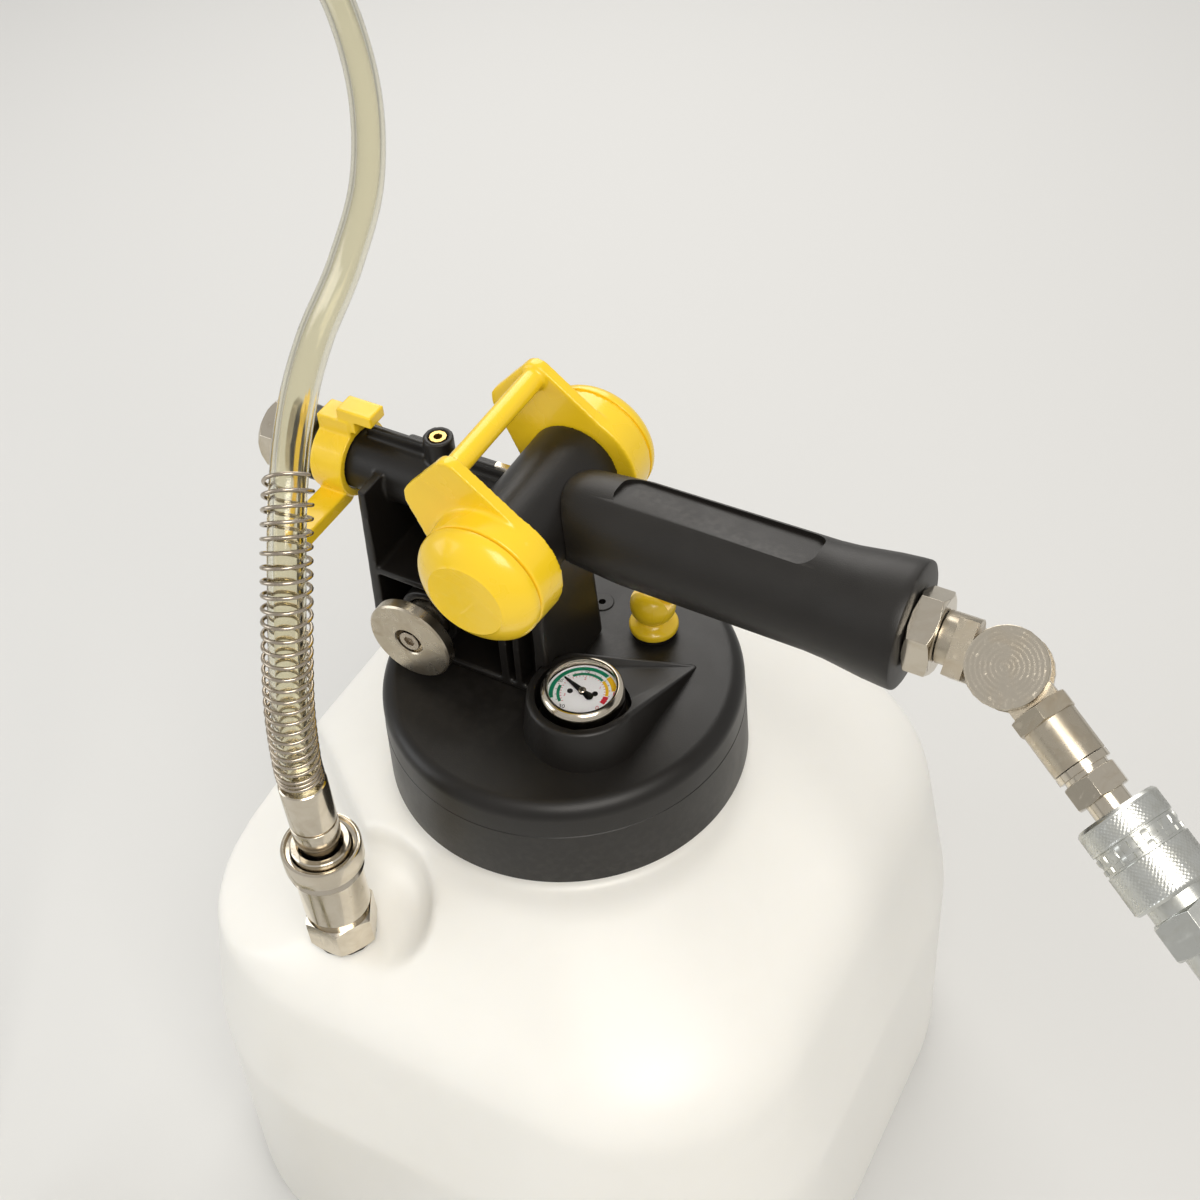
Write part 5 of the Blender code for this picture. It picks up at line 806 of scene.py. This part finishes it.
FRONT_TURN = Matrix.Rotation(math.pi / 2, 4, "X")
SIDE_TURN = Matrix.Rotation(math.pi / 2, 4, "Y")
BARREL_PLACE = Matrix.Translation((0, 0, BARREL_Z)) @ FRONT_TURN
SELECTOR_PLACE = Matrix.Translation((SELECTOR_X, 0, SELECTOR_Z)) @ FRONT_TURN
TUBE_PLACE = Matrix.Translation((0, TUBE_Y, TUBE_Z)) @ SIDE_TURN
GRIP_PLACE = Matrix.Translation((0, 0, BARREL_Z)) @ SIDE_TURN
CLIP_TURN = Matrix.Rotation(math.pi / 2, 4, "Z") @ FRONT_TURN
CLIP_PLACE = Matrix.Translation((CLIP_X, TUBE_Y, TUBE_Z)) @ CLIP_TURN
GAUGE_PLACE = Matrix.Translation((GAUGE_X, GAUGE_Y, 0))
RELIEF_PLACE = Matrix.Translation((RELIEF_X, RELIEF_Y, 0))
VENT_PLACE = Matrix.Translation((VENT_X, VENT_Y, 0))
INSERT_PLACE = Matrix.Translation((INSERT_X, INSERT_Y, 0))
SOCKET_PLACE = Matrix.Translation((SOCKET_X, SOCKET_Y, 0))
ROLLED_PLACE = Matrix.Translation((0, 0, BARREL_Z)) @ Matrix.Rotation(KNUCKLE_ROLL, 4, "X")
KNUCKLE_PLACE = ROLLED_PLACE @ Matrix.Translation((*KNUCKLE, 0))
LEG_PLACE = KNUCKLE_PLACE @ Matrix.Rotation(-KNUCKLE_BEND, 4, "Z") @ SIDE_TURN

# Pieces, with outlines as (radius, height) in millimetres unless said otherwise


def tank_loops(inset):
    """Sections of the reservoir from its rounded foot to its round shoulder, in millimetres."""
    rows = []
    for bearing in quarter_turn(6):
        height = inset + 10 * (1 - math.cos(bearing))
        rows.append((height, 120 - inset + 8 * math.sin(bearing), 74 - inset))
    knee = Vector((110, 126 - inset, 78 - inset))
    edge = Vector((177 - inset / 2, 113.2 - inset, 64 - inset))
    shoulder = Vector((206.5 - inset, 68 - inset, 68 - inset))
    start = knee.lerp(edge, 0.80)
    end = edge.lerp(shoulder, 0.35)
    foot = Vector(rows[-1])
    rows += [tuple(foot.lerp(knee, 0.5)), tuple(knee)]
    for k in range(13):
        t = k / 12
        rows.append(tuple(start.lerp(edge, t).lerp(edge.lerp(end, t), t)))
    rows += [tuple(end.lerp(shoulder, 0.5)), tuple(shoulder)]
    return [rounded_box_loop(half, half, corner, z, 14) for z, half, corner in rows]


def pocket_shapes(grow):
    """What is cut for the hose socket: a slanting step beyond two walls, and a round bowl."""
    wall, edge = 4 + grow, -60 + grow
    outline = [(-132, wall), (-50 + grow, edge), (wall, edge), (wall, -132), (-132, -132)]
    floor = 192.5 - grow
    low = [(x, y, floor + 0.5 * (x + 40) + 0.16 * (y + 89.5)) for x, y in outline]
    high = [(x, y, 243) for x, y in outline]
    radius = 31 + grow
    base = 186.5 - grow
    bends = [math.pi / 2 * (k / 8 - 1) for k in range(9)]
    corner = [(radius - 12 + 12 * math.cos(t), base + 12 + 12 * math.sin(t)) for t in bends]
    bowl = turned_shape([(0, base), *corner, (radius, 243), (0, 243)], 72)
    return [loft_shape([low, high]), (bowl, SOCKET_PLACE)]


def build_tank():
    """Hollow blow moulded reservoir with its pocket, soft along every edge."""
    neck = rod_shape(57.5, 192, 241, 128)
    outer = moulded([loft_shape(tank_loops(0)), neck], pocket_shapes(0), voxel=2.2, relax=9)
    wall = 2.5
    inner = remeshed(merged([loft_shape(tank_loops(wall))]), voxel=3.0, relax=0)
    pad = (rod_shape(13, 176.5, 243, 48), SOCKET_PLACE)
    inner = combined(inner, [*pocket_shapes(wall), pad], "DIFFERENCE")
    inner = remeshed(inner, voxel=3.0, relax=4)
    stem = (rod_shape(7.3, 173, 189, 48), SOCKET_PLACE)
    tank = combined(outer, [inner, rod_shape(53.5, 186, 243, 128), stem], "DIFFERENCE")
    link("milky_tank", tank, material=TANK_WHITE, replaces="reservoir_tank", smooth=50)


def boss_shape(grow=0.0):
    """Teardrop boss of the gauge: a round top with a soft edge, falling away along its tail."""
    tail = (20.8, 37.7)
    foot_radius, top_radius, tail_radius = 20.6, 18.4, 0.9
    edge = 1.5
    foot = hull_loop([(0, 0, foot_radius + grow), (*tail, tail_radius + grow)], 249.2, 96)
    length = math.hypot(*tail)
    start = top_radius / length
    share = top_radius / foot_radius
    high = []
    for x, y, z in foot:
        along = max(0.0, (x * tail[0] + y * tail[1]) / length / length)
        fall = max(0.0, (along - start) / (1 - start))
        round_part = math.hypot(x, y) <= (foot_radius + grow) * 1.02
        keep = share if round_part else 1 - (1 - share) * (1 - fall)
        high.append((x * keep, y * keep, LID_TOP_Z / MM + 15.7 + grow - fall * 14.5))
    rows = [foot]
    for bearing in quarter_turn(4):
        inward = edge * (1 - math.cos(bearing))
        down = edge * (1 - math.sin(bearing))
        row = []
        for x, y, z in high:
            keep = 1 - inward / math.hypot(x, y)
            row.append((x * keep, y * keep, z - down))
        rows.append(row)
    return loft_shape(rows)


def build_lid():
    """Screw lid: drafted skirt, soft shoulder, gauge boss and vent."""
    shoulder = [(56.1 + 5.5 * math.cos(t), 245.8 + 5.5 * math.sin(t)) for t in quarter_turn(8)]
    skirt = [(59, 247.1), (59, 215), (62.4, 215), (62.95, 215.5)]
    step = [(62.0, 238.2), (61.75, 238.4), (61.9, 238.6)]
    lid = turned_mesh("lid", [(0, 247.1), *skirt, *step, *shoulder, (0, 251.3)], 180)
    pad = turned_shape([(0, 249), (4.2, 249), (4.2, 251.5), (3.9, 251.7), (0, 251.7)], 48)
    lid = combined(lid, [(boss_shape(), GAUGE_PLACE), (pad, VENT_PLACE)], "UNION")
    holes = [
        (rod_shape(15.5, 255, 269, 96), GAUGE_PLACE),
        (rod_shape(1.3, 245, 253, 32), VENT_PLACE),
        (rod_shape(3.4, 245, 253, 32), RELIEF_PLACE),
        rod_shape(4.0, 245, 253, 32),
    ]
    link("screw_lid", combined(lid, holes, "DIFFERENCE"), material=BLACK, replaces="lid", smooth=32)


def build_grip():
    """Grip shell with a flared end and a long sunk panel."""
    root = [(15 * math.sin(t), 17 - 15 * math.cos(t)) for t in quarter_turn(10)]
    flare = [(16.6, 92), (17.0, 98), (17.8, 104), (18.6, 110), (19.1, 116), (19.2, 118.4)]
    end = [(19.0, 119.0), (18.2, 119.4), (0, 119.4)]
    shell = turned_mesh("grip", [*root, (16.2, 32), (16.4, 64), *flare, *end], 120, GRIP_PLACE)
    bore = turned_shape([(0, 26), (9, 26), (9, 107.4), (7.2, 107.4), (7.2, 122), (0, 122)], 64)
    outline = rounded_box_loop(32, 7.5, 5, 22, 10)
    panel = loft_shape([[(x, y, 14.1 - 0.09 * y) for x, y, _ in outline], outline])
    lean = Matrix.Rotation(math.radians(-6), 4, "X")
    panel_place = Matrix.Translation((0.0578, 0, BARREL_Z)) @ lean
    barrel = rod_shape(15.7, -20, 20, 96)
    cutters = [(barrel, BARREL_PLACE), (bore, GRIP_PLACE), (panel, panel_place)]
    cover = combined(shell, cutters, "DIFFERENCE")
    grip = link("grip_cover", cover, "extractor", GRIP_BLACK, "grip_shell", smooth=35)
    add_edge(grip, width=0.3)


def hub_place(seat, turn):
    """Place on the barrel's axis, turned to face the front or the back."""
    return BARREL_PLACE @ Matrix.Translation((0, 0, seat)) @ Matrix.Rotation(turn, 4, "X")


def build_bail():
    """Yellow bail lever: two hubs, two web arms and a round crossbar, moulded as one."""
    bar = (-12.5, 30.0)
    corners = [(0, 0, 20.9), (-23.5, 16.5, 6.0), (*bar, 5.0)]
    hub = [(0, 0), (21.3, 0), (20.5, 11.2), (0, 11.2)]
    bar_place = BARREL_PLACE @ Matrix.Translation((bar[0] * MM, bar[1] * MM, 0))
    parts = [
        (turned_shape(hub, 120), hub_place(0.0260, 0)),
        (turned_shape(hub, 120), hub_place(-0.0198, math.pi)),
        (loft_shape([hull_loop(corners, z, 144) for z in (26, 30)]), BARREL_PLACE),
        (loft_shape([hull_loop(corners, z, 144) for z in (-23.8, -19.8)]), BARREL_PLACE),
        (rod_shape(3.6, -21.8, 28, 48), bar_place),
    ]
    bore = (rod_shape(10.4, -33, 39, 96), BARREL_PLACE)
    bail = moulded(parts, [bore], voxel=0.5, relax=5)
    link("bail", bail, "bail", YELLOW, "bail_lever", smooth=60)


def build_caps():
    """Hub caps: a rounded flank that rises to a crisp flat face."""
    shares = [k / 16 for k in range(17)]
    flank = [(20.5 - 7.7 * share**1.55, 1.4 + 7.9 * share**0.80) for share in shares]
    seam = [(0, 0.3), (19.7, 0.3), (19.7, 0.75), (20.3, 0.75), (20.5, 0.95)]
    outline = [*seam, *flank, (12.6, 9.5), (0, 9.5)]
    for name, seat, turn in (("front_hub_cap", 0.0372, 0), ("rear_hub_cap", -0.0310, math.pi)):
        dome = turned_mesh(name, outline, 128, hub_place(seat, turn))
        link(f"{name}_dome", dome, "bail", YELLOW, name, smooth=24)


def build_housing():
    """Ribbed pylon, cross barrel and left tube, moulded as one."""
    middle = (-29.75, 2.25)
    loops = []
    for z, draft in ((252, 2.0), (284, 1.0), (317.5, 0)):
        loops.append(rounded_box_loop(32.75 + draft, 16.25 + draft, 1.6, z, 6, middle))
    block = to_mesh("block", loft_shape(loops))
    cells = [
        ((-59.3, -20, 285.6), (-14.2, 14.5, 322)),
        ((-59.3, -20, 254.6), (-14.2, 14.5, 283.0)),
        ((-11.0, -20, 254.6), (-8.6, -7.3, 298.6)),
        ((-6.0, -20, 254.6), (-0.2, -7.3, 298.6)),
    ]
    block = combined(block, [box_shape(low, high) for low, high in cells], "DIFFERENCE")
    collar = [(0, -96), (12.0, -96), (12.2, -95.6), (12.2, -88.5), (10.2, -88.5)]
    parts = [
        block,
        (rod_shape(15.4, -19.5, 25.7, 120), BARREL_PLACE),
        (turned_shape([*collar, (10.2, 0), (0, 0)], 96), TUBE_PLACE),
        box_shape((-71.0, 6.2, 308.6), (-7.7, 8.8, 326.6)),
        (rod_shape(5.0, 309, 330.7, 48), INSERT_PLACE),
        (rod_shape(10.8, -16.5, 15.2, 72), SELECTOR_PLACE),
    ]
    cutters = [
        (boss_shape(0.3), GAUGE_PLACE),
        (rod_shape(7.8, -99, -24, 64), TUBE_PLACE),
        (rod_shape(10.5, -23, 30, 72), BARREL_PLACE),
        (rod_shape(7.9, -10, 18, 64), SELECTOR_PLACE),
        (rod_shape(3.2, 324.7, 333, 32), INSERT_PLACE),
    ]
    housing = moulded(parts, cutters, voxel=0.55, relax=3)
    link("housing", housing, "extractor", BLACK, "head_housing", smooth=60)


def build_clip():
    """Yellow clip: open band, block with a raised hook over the rail, and a finger lever."""
    start, end = math.radians(-48), math.radians(262)
    steps = 90
    outer = [(13.1, start + (end - start) * k / steps) for k in range(steps + 1)]
    inner = [(10.6, end + (start - end) * k / steps) for k in range(steps + 1)]
    ring = [polar(radius, bearing) for radius, bearing in outer + inner]
    lever = [(-8.96, -10, 2.6), (-32.76, -10, 2.6)]
    half = 6.25
    parts = [
        (loft_shape([[(x, y, z) for x, y in ring] for z in (-half, half)]), CLIP_PLACE),
        (box_shape((-4.5, 11.85, -half), (4.5, 18.0, half)), CLIP_PLACE),
        (box_shape((-4.0, 13.8, 2.05), (4.0, 22.5, 8.35)), CLIP_PLACE),
        (box_shape((-4.0, 18.3, 2.05), (4.0, 22.5, 15.25)), CLIP_PLACE),
        (loft_shape([hull_loop(lever, z, 48) for z in (-5.0, 5.0)]), CLIP_PLACE),
    ]
    clip = moulded(parts, [], voxel=0.34, relax=5)
    link("clip_band", clip, "clip", YELLOW, "tube_clip", smooth=60)


def sector_mesh(name, inner, outer, start, end, steps=48):
    """Thin printed band on the dial between two bearings, in millimetres and degrees."""
    bearings = [math.radians(start + (end - start) * k / steps) for k in range(steps + 1)]
    loop = [polar(outer, t) for t in bearings] + [polar(inner, t) for t in reversed(bearings)]
    loops = [[(x, y, z) for x, y in loop] for z in (DIAL_TOP, DIAL_TOP + INK_THICKNESS)]
    return to_mesh(name, loft_shape(loops), GAUGE_PLACE)


def tick_meshes(inner, outer, half, bearings):
    """Printed ticks of one length, each as wide as twice a half angle."""
    return [sector_mesh("tick", inner, outer, b - half, b + half, 2) for b in bearings]


def printed(name, meshes, material):
    """Raised ink on the dial, all of one colour as one piece."""
    link(name, merged(meshes), material=material, smooth=20)


def dial_spot(bearing, reach, height):
    """Place over the dial by a bearing in degrees, a reach in millimetres and a height."""
    spot = (*polar(reach * MM, math.radians(bearing)), height)
    return GAUGE_PLACE @ Matrix.Translation(spot)


def figure_mesh(letters, bearing, reach, size):
    """Figure on the dial at a bearing, upright to the dial's own level."""
    curve = bpy.data.curves.new("figure", "FONT")
    curve.body = letters
    curve.size = size * MM
    curve.extrude = FIGURE_THICKNESS / 2 * MM
    curve.align_x = "CENTER"
    curve.align_y = "CENTER"
    mesh = bake(new_object("helper", curve))
    mesh.transform(dial_spot(bearing, reach, FIGURE_Z) @ Matrix.Rotation(DIAL_LEVEL, 4, "Z"))
    return mesh


def dial_print():
    """Coloured bands, ticks, figures and the dial's two screws."""
    green = [(9.5, 10.9, 66, 218), (7.4, 8.4, 64, 142), (7.4, 8.4, 182, 233)]
    yellow = [(9.3, 11.0, 28, 64), (7.4, 8.4, 14, 62)]
    red = [(9.9, 11.0, 0, 26), (7.0, 8.7, -10, 12)]
    inks = (("green", green, GREEN_INK), ("yellow", yellow, YELLOW_INK), ("red", red, RED_INK))
    for name, bands, ink in inks:
        printed(f"{name}_band", [sector_mesh(name, *band) for band in bands], ink)
    fine = tick_meshes(6.8, 7.4, 0.7, range(-9, 240, 9))
    inner = [("1", 45, 5.9, 1.5), ("2", 110, 5.9, 1.5), ("3", 215, 5.8, 1.5), ("0", -27, 8.2, 2.2)]
    printed("red_ticks", fine + [figure_mesh(*figure) for figure in inner], RED_INK)
    coarse = tick_meshes(8.45, 8.9, 0.6, range(0, 236, 15))
    outer = [("10", 109, 9.0, 1.7), ("20", 172, 9.0, 1.6), ("30", 248, 8.6, 2.2)]
    printed("black_ticks", coarse + [figure_mesh(*figure) for figure in outer], INK)
    head = [(0, DIAL_TOP), (0.95, DIAL_TOP), (0.95, 267.0), (0.8, 267.08), (0, 267.08)]
    heads = [(turned_shape(head, 32), dial_spot(b, DIAL_SCREW_REACH, 0)) for b in (17, 197)]
    printed("dial_screws", heads, NEEDLE)


def build_gauge():
    """Vacuum gauge: plated bezel, lens, and a dial printed with bands, ticks and figures."""
    rim = [(13.6, 267.6), (13.5, 268.5), (13.2, 269.3), (12.7, 269.95), (12.05, 270.3)]
    lip = [(11.6, 270.4), (11.2, 270.3), (10.95, 269.9), (10.95, 269.65), (12.1, 269.65)]
    bezel = turned_mesh("bezel", [(12.1, 264.4), (13.6, 264.4), *rim, *lip], 128, GAUGE_PLACE)
    link("bezel_ring", bezel, material=NICKEL, replaces="gauge_bezel")
    disc = [(0, 268.55), (11.6, 268.55), (11.6, 269.35), (0, 269.35)]
    lens = turned_mesh("lens", disc, 96, GAUGE_PLACE)
    link("lens_disc", lens, material=CLEAR_LENS, replaces="gauge_lens", smooth=30)
    face = [(0.75, 266.2), (11.7, 266.2), (11.7, DIAL_TOP), (0.75, DIAL_TOP)]
    dial = turned_mesh("dial", face, 96, GAUGE_PLACE)
    link("dial_face", dial, material=WHITE, replaces="gauge_dial", smooth=30)
    dial_print()
    refine("gauge_needle", NEEDLE, bevel=0)
    button = [(0, 267.9), (1.25, 267.9), (1.25, 268.2), (1.0, 268.4), (0, 268.4)]
    stud = turned_mesh("stud", button, 40, GAUGE_PLACE)
    link("needle_stud", stud, "needle", STEEL, smooth=30)


def build_relief():
    """Pull-up relief cap: round flange, waist and egg shaped grip with a notch across its top."""
    stem = [(0, 243.8), (3.0, 243.8), (3.0, 253.8)]
    flange = [(8.0, 253.8), (8.4, 254.0), (8.5, 254.4), (8.5, 255.5), (8.3, 256.1), (7.7, 256.7)]
    waist = [(6.6, 257.4), (5.7, 258.0), (5.3, 258.6), (5.5, 259.2), (6.2, 259.9), (7.0, 260.9)]
    egg = [(7.6, 262.2), (7.85, 263.6), (7.8, 265.2), (7.45, 266.8), (6.8, 268.2)]
    crown = [(5.9, 269.4), (4.7, 270.3), (3.2, 270.8), (0, 270.8)]
    cap = turned_mesh("relief", stem + flange + waist + egg + crown, 96, RELIEF_PLACE)
    notch = box_shape((-12, -2.6, 266.6), (12, 2.6, 272))
    cap = combined(cap, [(notch, RELIEF_PLACE)], "DIFFERENCE")
    add_edge(link("relief_grip", cap, "relief", YELLOW, "relief_cap", smooth=35), width=0.25)


def build_knob():
    """Turned selector knob with a round recess for its screw."""
    disc = [(0, 23.0), (14.8, 23.0), (15.3, 23.5), (15.3, 26.9), (14.7, 27.5)]
    socket = [(5.4, 27.5), (5.0, 27.1), (5.0, 24.5), (0, 24.5)]
    knob = turned_mesh("knob", disc + socket, 112, SELECTOR_PLACE)
    link("knob_disc", knob, "selector", ZINC, "selector_knob", smooth=24)


def sleeve_radius(radius, height, bearing):
    """Radius on the coupler's sleeve: two bands of diamond knurl, and slots in its rings."""
    slotted = abs(radius - SLOTTED_RADIUS * MM) < SAME_RADIUS
    if slotted and math.sin(bearing * SLOTS) > SLOT_EDGE:
        return radius - SLOT_DEPTH * MM
    full = SLEEVE_RADIUS * MM
    in_band = any(low * MM < height < high * MM for low, high in KNURL_BANDS)
    if radius < full - SAME_RADIUS or not in_band:
        return radius
    pitch = KNURL_PITCH * MM
    turn = round(math.tau * full / pitch / 2) * bearing
    rise = math.pi * height / pitch
    ridge = min(abs(math.sin(turn + rise)), abs(math.sin(turn - rise)))
    return radius - KNURL_DEPTH * MM * (1 - ridge)


def build_coupler():
    """Quick coupler's sleeve: plain lip, knurled bands and two slotted rings between them."""
    rows = [0, 0.5, 1.0, 1.6, *[1.7 + KNURL_STEP * k for k in range(18)], 7.4]
    outline = [(9.8, SLEEVE_START)]
    for row in rows:
        outline.append((SLEEVE_RADIUS if row > 0.9 else 11.4 + row, SLEEVE_START + row))
    for start in (7.6, 10.8):
        low = SLEEVE_START + start
        outline += [(11.7, low), (11.7, low + 0.7)]
        outline += [(SLOTTED_RADIUS, low + 0.8), (SLOTTED_RADIUS, low + 2.2)]
    outline += [(11.7, 59.3), (11.7, 59.9)]
    outline += [(SLEEVE_RADIUS, 60.1 + KNURL_STEP * k) for k in range(36)]
    outline += [(11.4, 72.2), (9.8, 72.2)]
    sleeve = turned_mesh("sleeve", outline, 288, LEG_PLACE, sleeve_radius)
    link("knurled_sleeve", sleeve, "air_sleeve", KNURLED, "air_coupler_sleeve", smooth=32)
    rings = [(11.3 - 0.28 * k, 8.57 + 0.03 * (1 + math.cos(k * 1.3)) / 2) for k in range(40)]
    face = [(0, 8.4), (11.35, 8.4), *rings, (0, 8.58)]
    cheek = turned_mesh("cheek", face, 96, KNUCKLE_PLACE)
    link("turned_cheek", cheek, "swivel", NICKEL, smooth=60)


def build_socket():
    """Hose socket: hexagon with turned corners, round body, and a sleeve with a threaded ring."""
    reach = 10.75 / math.cos(math.pi / 6)
    corners = [polar(reach, bearing) for bearing in full_turn(6)]
    hexagon = loft_shape([[(x, y, z) for x, y in corners] for z in (188.0, 201.0)])
    body = to_mesh("hex", hexagon, SOCKET_PLACE)
    upper = [(10.5, 201.3), (13.5, 201.3), (13.5, 199.2)]
    lower = [(10.5, 187.7), (13.5, 189.8), (13.5, 187.7)]
    cones = [(turned_shape(cone, 96), SOCKET_PLACE) for cone in (upper, lower)]
    body = combined(body, cones, "DIFFERENCE")
    stem = [(0, 169.5), (7, 169.5), (7, 194.5)]
    column = [(9.8, 194.5), (9.8, 237.1), (9.4, 237.5), (0, 237.5)]
    body = combined(body, [(turned_shape(stem + column, 96), SOCKET_PLACE)], "UNION")
    bore = [(0, 168), (4, 168), (4, 221.9), (7.2, 221.9)]
    mouth = [(7.2, 236.9), (7.9, 237.6), (7.9, 239), (0, 239)]
    body = combined(body, [(turned_shape(bore + mouth, 64), SOCKET_PLACE)], "DIFFERENCE")
    link("socket_column", body, material=NICKEL, replaces="socket_body", smooth=30)
    skirt = [(10.1, 204.3), (10.8, 204.3), (11.2, 204.7), (11.2, 224.1)]
    threads = [(11.5, 224.4), (12.2, 224.5)]
    threads += [(12.4 - (0.22 if k % 2 else 0.0), 224.9 + 0.28 * k) for k in range(12)]
    lip = [(12.2, 228.4), (13.0, 228.5), (13.2, 228.8), (13.2, 235.4), (12.9, 236.1), (12.4, 236.3)]
    inside = [(12.0, 236.3), (11.7, 236.0), (11.5, 234.9), (10.3, 234.7), (10.1, 234.4)]
    sleeve = turned_mesh("sleeve", skirt + threads + lip + inside, 112, SOCKET_PLACE)
    link("threaded_sleeve", sleeve, "hose_sleeve", NICKEL, "socket_sleeve", smooth=28)


def build_ferrule():
    """Plug ferrule of the hose: narrow neck, cone and a crimped groove."""
    neck = [(0, 222.5), (6.6, 222.5), (6.6, 239.9)]
    cone = [(6.75, 240.4), (7.35, 241.4), (7.6, 241.9), (7.7, 242.4)]
    crimp = [(7.7, 249.2), (7.55, 249.35), (7.1, 249.4), (7.1, 250.2), (7.55, 250.25), (7.7, 250.4)]
    end = [(7.7, 268.0), (7.55, 268.5), (7.1, 268.8), (0, 268.8)]
    ferrule = turned_mesh("ferrule", neck + cone + crimp + end, 96, SOCKET_PLACE)
    link("crimped_ferrule", ferrule, material=NICKEL, replaces="hose_ferrule", smooth=26)


def build_tab():
    """Small plated bar let into the rail near the barrel."""
    loops = []
    for z, step in ((326.2, 0.2), (327.5, 0.2), (327.8, 0.0)):
        loops.append(rounded_box_loop(4.2 + step, 0.95 + step, 0.5, z, 4, (-17.6, 7.5)))
    link("rail_tab", to_mesh("tab", loft_shape(loops)), material=NICKEL, smooth=30)


def build_hose():
    """The whole hose as one clear tube, and its wire guard."""
    knots, coil = hose_knots()
    free = smooth_points(knots + coil[:1], HOSE_FREE_SPACING)
    turns = smooth_points(coil, HOSE_COIL_SPACING)
    line = free[:-1] + turns
    tube = tube_mesh("clear_hose", line, HOSE_DIAMETER / 2, HOSE_BORE / 2, HOSE_SIDES)
    hose = link("clear_hose", tube, material=CLEAR_VINYL)
    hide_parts("hose_run", "hose_coil")
    guard = build_spring(knots[:SPRING_ROUTE_POINTS])


def build_spring(knots):
    """Steel wire wound round the hose above its ferrule."""
    radius = (HOSE_DIAMETER + SPRING_WIRE) / 2 + SPRING_CLEARANCE
    fine = smooth_points(knots, SPRING_WIRE)
    frames = side_frames(fine)
    reach = running_lengths(fine)
    closed = SPRING_CLOSED_TURNS * SPRING_CLOSED_PITCH
    pitch = (SPRING_LENGTH - 2 * SPRING_WIRE - closed) / (SPRING_TURNS - SPRING_CLOSED_TURNS)
    places = []
    index = 0
    for k in range(SPRING_TURNS * SPRING_STEPS_PER_TURN + 1):
        turn = k / SPRING_STEPS_PER_TURN
        along = turn * SPRING_CLOSED_PITCH
        if turn > SPRING_CLOSED_TURNS:
            along = closed + (turn - SPRING_CLOSED_TURNS) * pitch
        along += 2 * SPRING_WIRE
        while reach[index + 1] < along:
            index += 1
        share = (along - reach[index]) / (reach[index + 1] - reach[index])
        centre = fine[index].lerp(fine[index + 1], share)
        side, across = frames[index]
        bearing = math.tau * turn
        out = side * (radius * math.cos(bearing))
        places.append(centre + out + across * (radius * math.sin(bearing)))
    wire = tube_mesh("spring_wire", places, SPRING_WIRE / 2, 0, SPRING_SIDES)
    guard = link("spring_wire", wire, material=STEEL)
    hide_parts("spring_guard")
    return guard


def refine_solids():
    """Every solid that keeps its own shape, with finer shading and edges."""
    rows = [
        (BLACK, 0.35, ("relief_seat", "float_cage", "gauge_case")),
        (NICKEL, 0.3, ("socket_nut", "muffler", "inlet_fitting")),
        (NICKEL, 0.25, ("hose_connector", "air_plug")),
        (STEEL, 0.15, ("knob_screw", "knuckle_pin")),
        (ZINC, 0.35, ("selector_spool", "valve_rotor", "swivel_block", "swivel_leg")),
        (KNURLED, 0.3, ("air_coupler_body",)),
        (BRASS, 0.12, ("rail_insert", "venturi_nozzle", "venturi_diffuser", "muffler_element")),
        (RUBBER, 0.15, ("neck_gasket", "port_seal", "socket_washer", "relief_disc", "hose_tie")),
        (RUBBER, 0, ("rotor_seal_front", "rotor_seal_rear")),
        (RUBBER, 0, ("spool_seal_front", "spool_seal_rear")),
        (WHITE, 0.3, ("float_bob",)),
        (CLEAR_VINYL, 0, ("dip_tube",)),
    ]
    for material, edge, names in rows:
        for name in names:
            refine(name, material, edge)


def build_studio():
    """Plain pale floor, soft world and three large lamps."""
    shape = bmesh.new()
    bmesh.ops.create_grid(shape, x_segments=1, y_segments=1, size=FLOOR_REACH)
    floor = new_object("floor", to_mesh("floor", shape))
    made, tree, shader = new_material("pale_floor", Roughness=0.9, Specular_IOR_Level=0.1)
    shader.inputs["Base Color"].default_value = FLOOR_COLOUR
    shader.inputs["Emission Color"].default_value = (1, 1, 1, 1)
    seen = put(tree, "ShaderNodeLightPath").outputs["Is Camera Ray"]
    tree.links.new(product(tree, seen, FLOOR_GLOW), shader.inputs["Emission Strength"])
    floor.data.materials.append(made)
    world = bpy.data.worlds.new("studio")
    bpy.context.scene.world = world
    world.use_nodes = True
    back = world.node_tree.nodes["Background"]
    back.inputs["Color"].default_value = WORLD_COLOUR
    back.inputs["Strength"].default_value = WORLD_STRENGTH
    for name, place, size, power, colour in LAMPS:
        light = bpy.data.lights.new(name, "AREA")
        light.size = size
        light.energy = power
        light.color = colour
        lamp = new_object(name, light)
        aim = Vector(LAMP_AIM) - Vector(place)
        lamp.location = place
        lamp.rotation_euler = aim.to_track_quat("-Z", "Y").to_euler()


def main():
    """Camera, plain solids and hose first, then the remade pieces and the studio."""
    make_camera()
    refine_solids()
    build_hose()
    build_tank()
    build_lid()
    build_gauge()
    build_housing()
    build_bail()
    build_caps()
    build_grip()
    build_clip()
    build_relief()
    build_knob()
    build_coupler()
    build_socket()
    build_ferrule()
    build_tab()
    build_studio()
    bpy.context.scene.view_settings.view_transform = "Standard"


main()
bpy.context.view_layer.update()
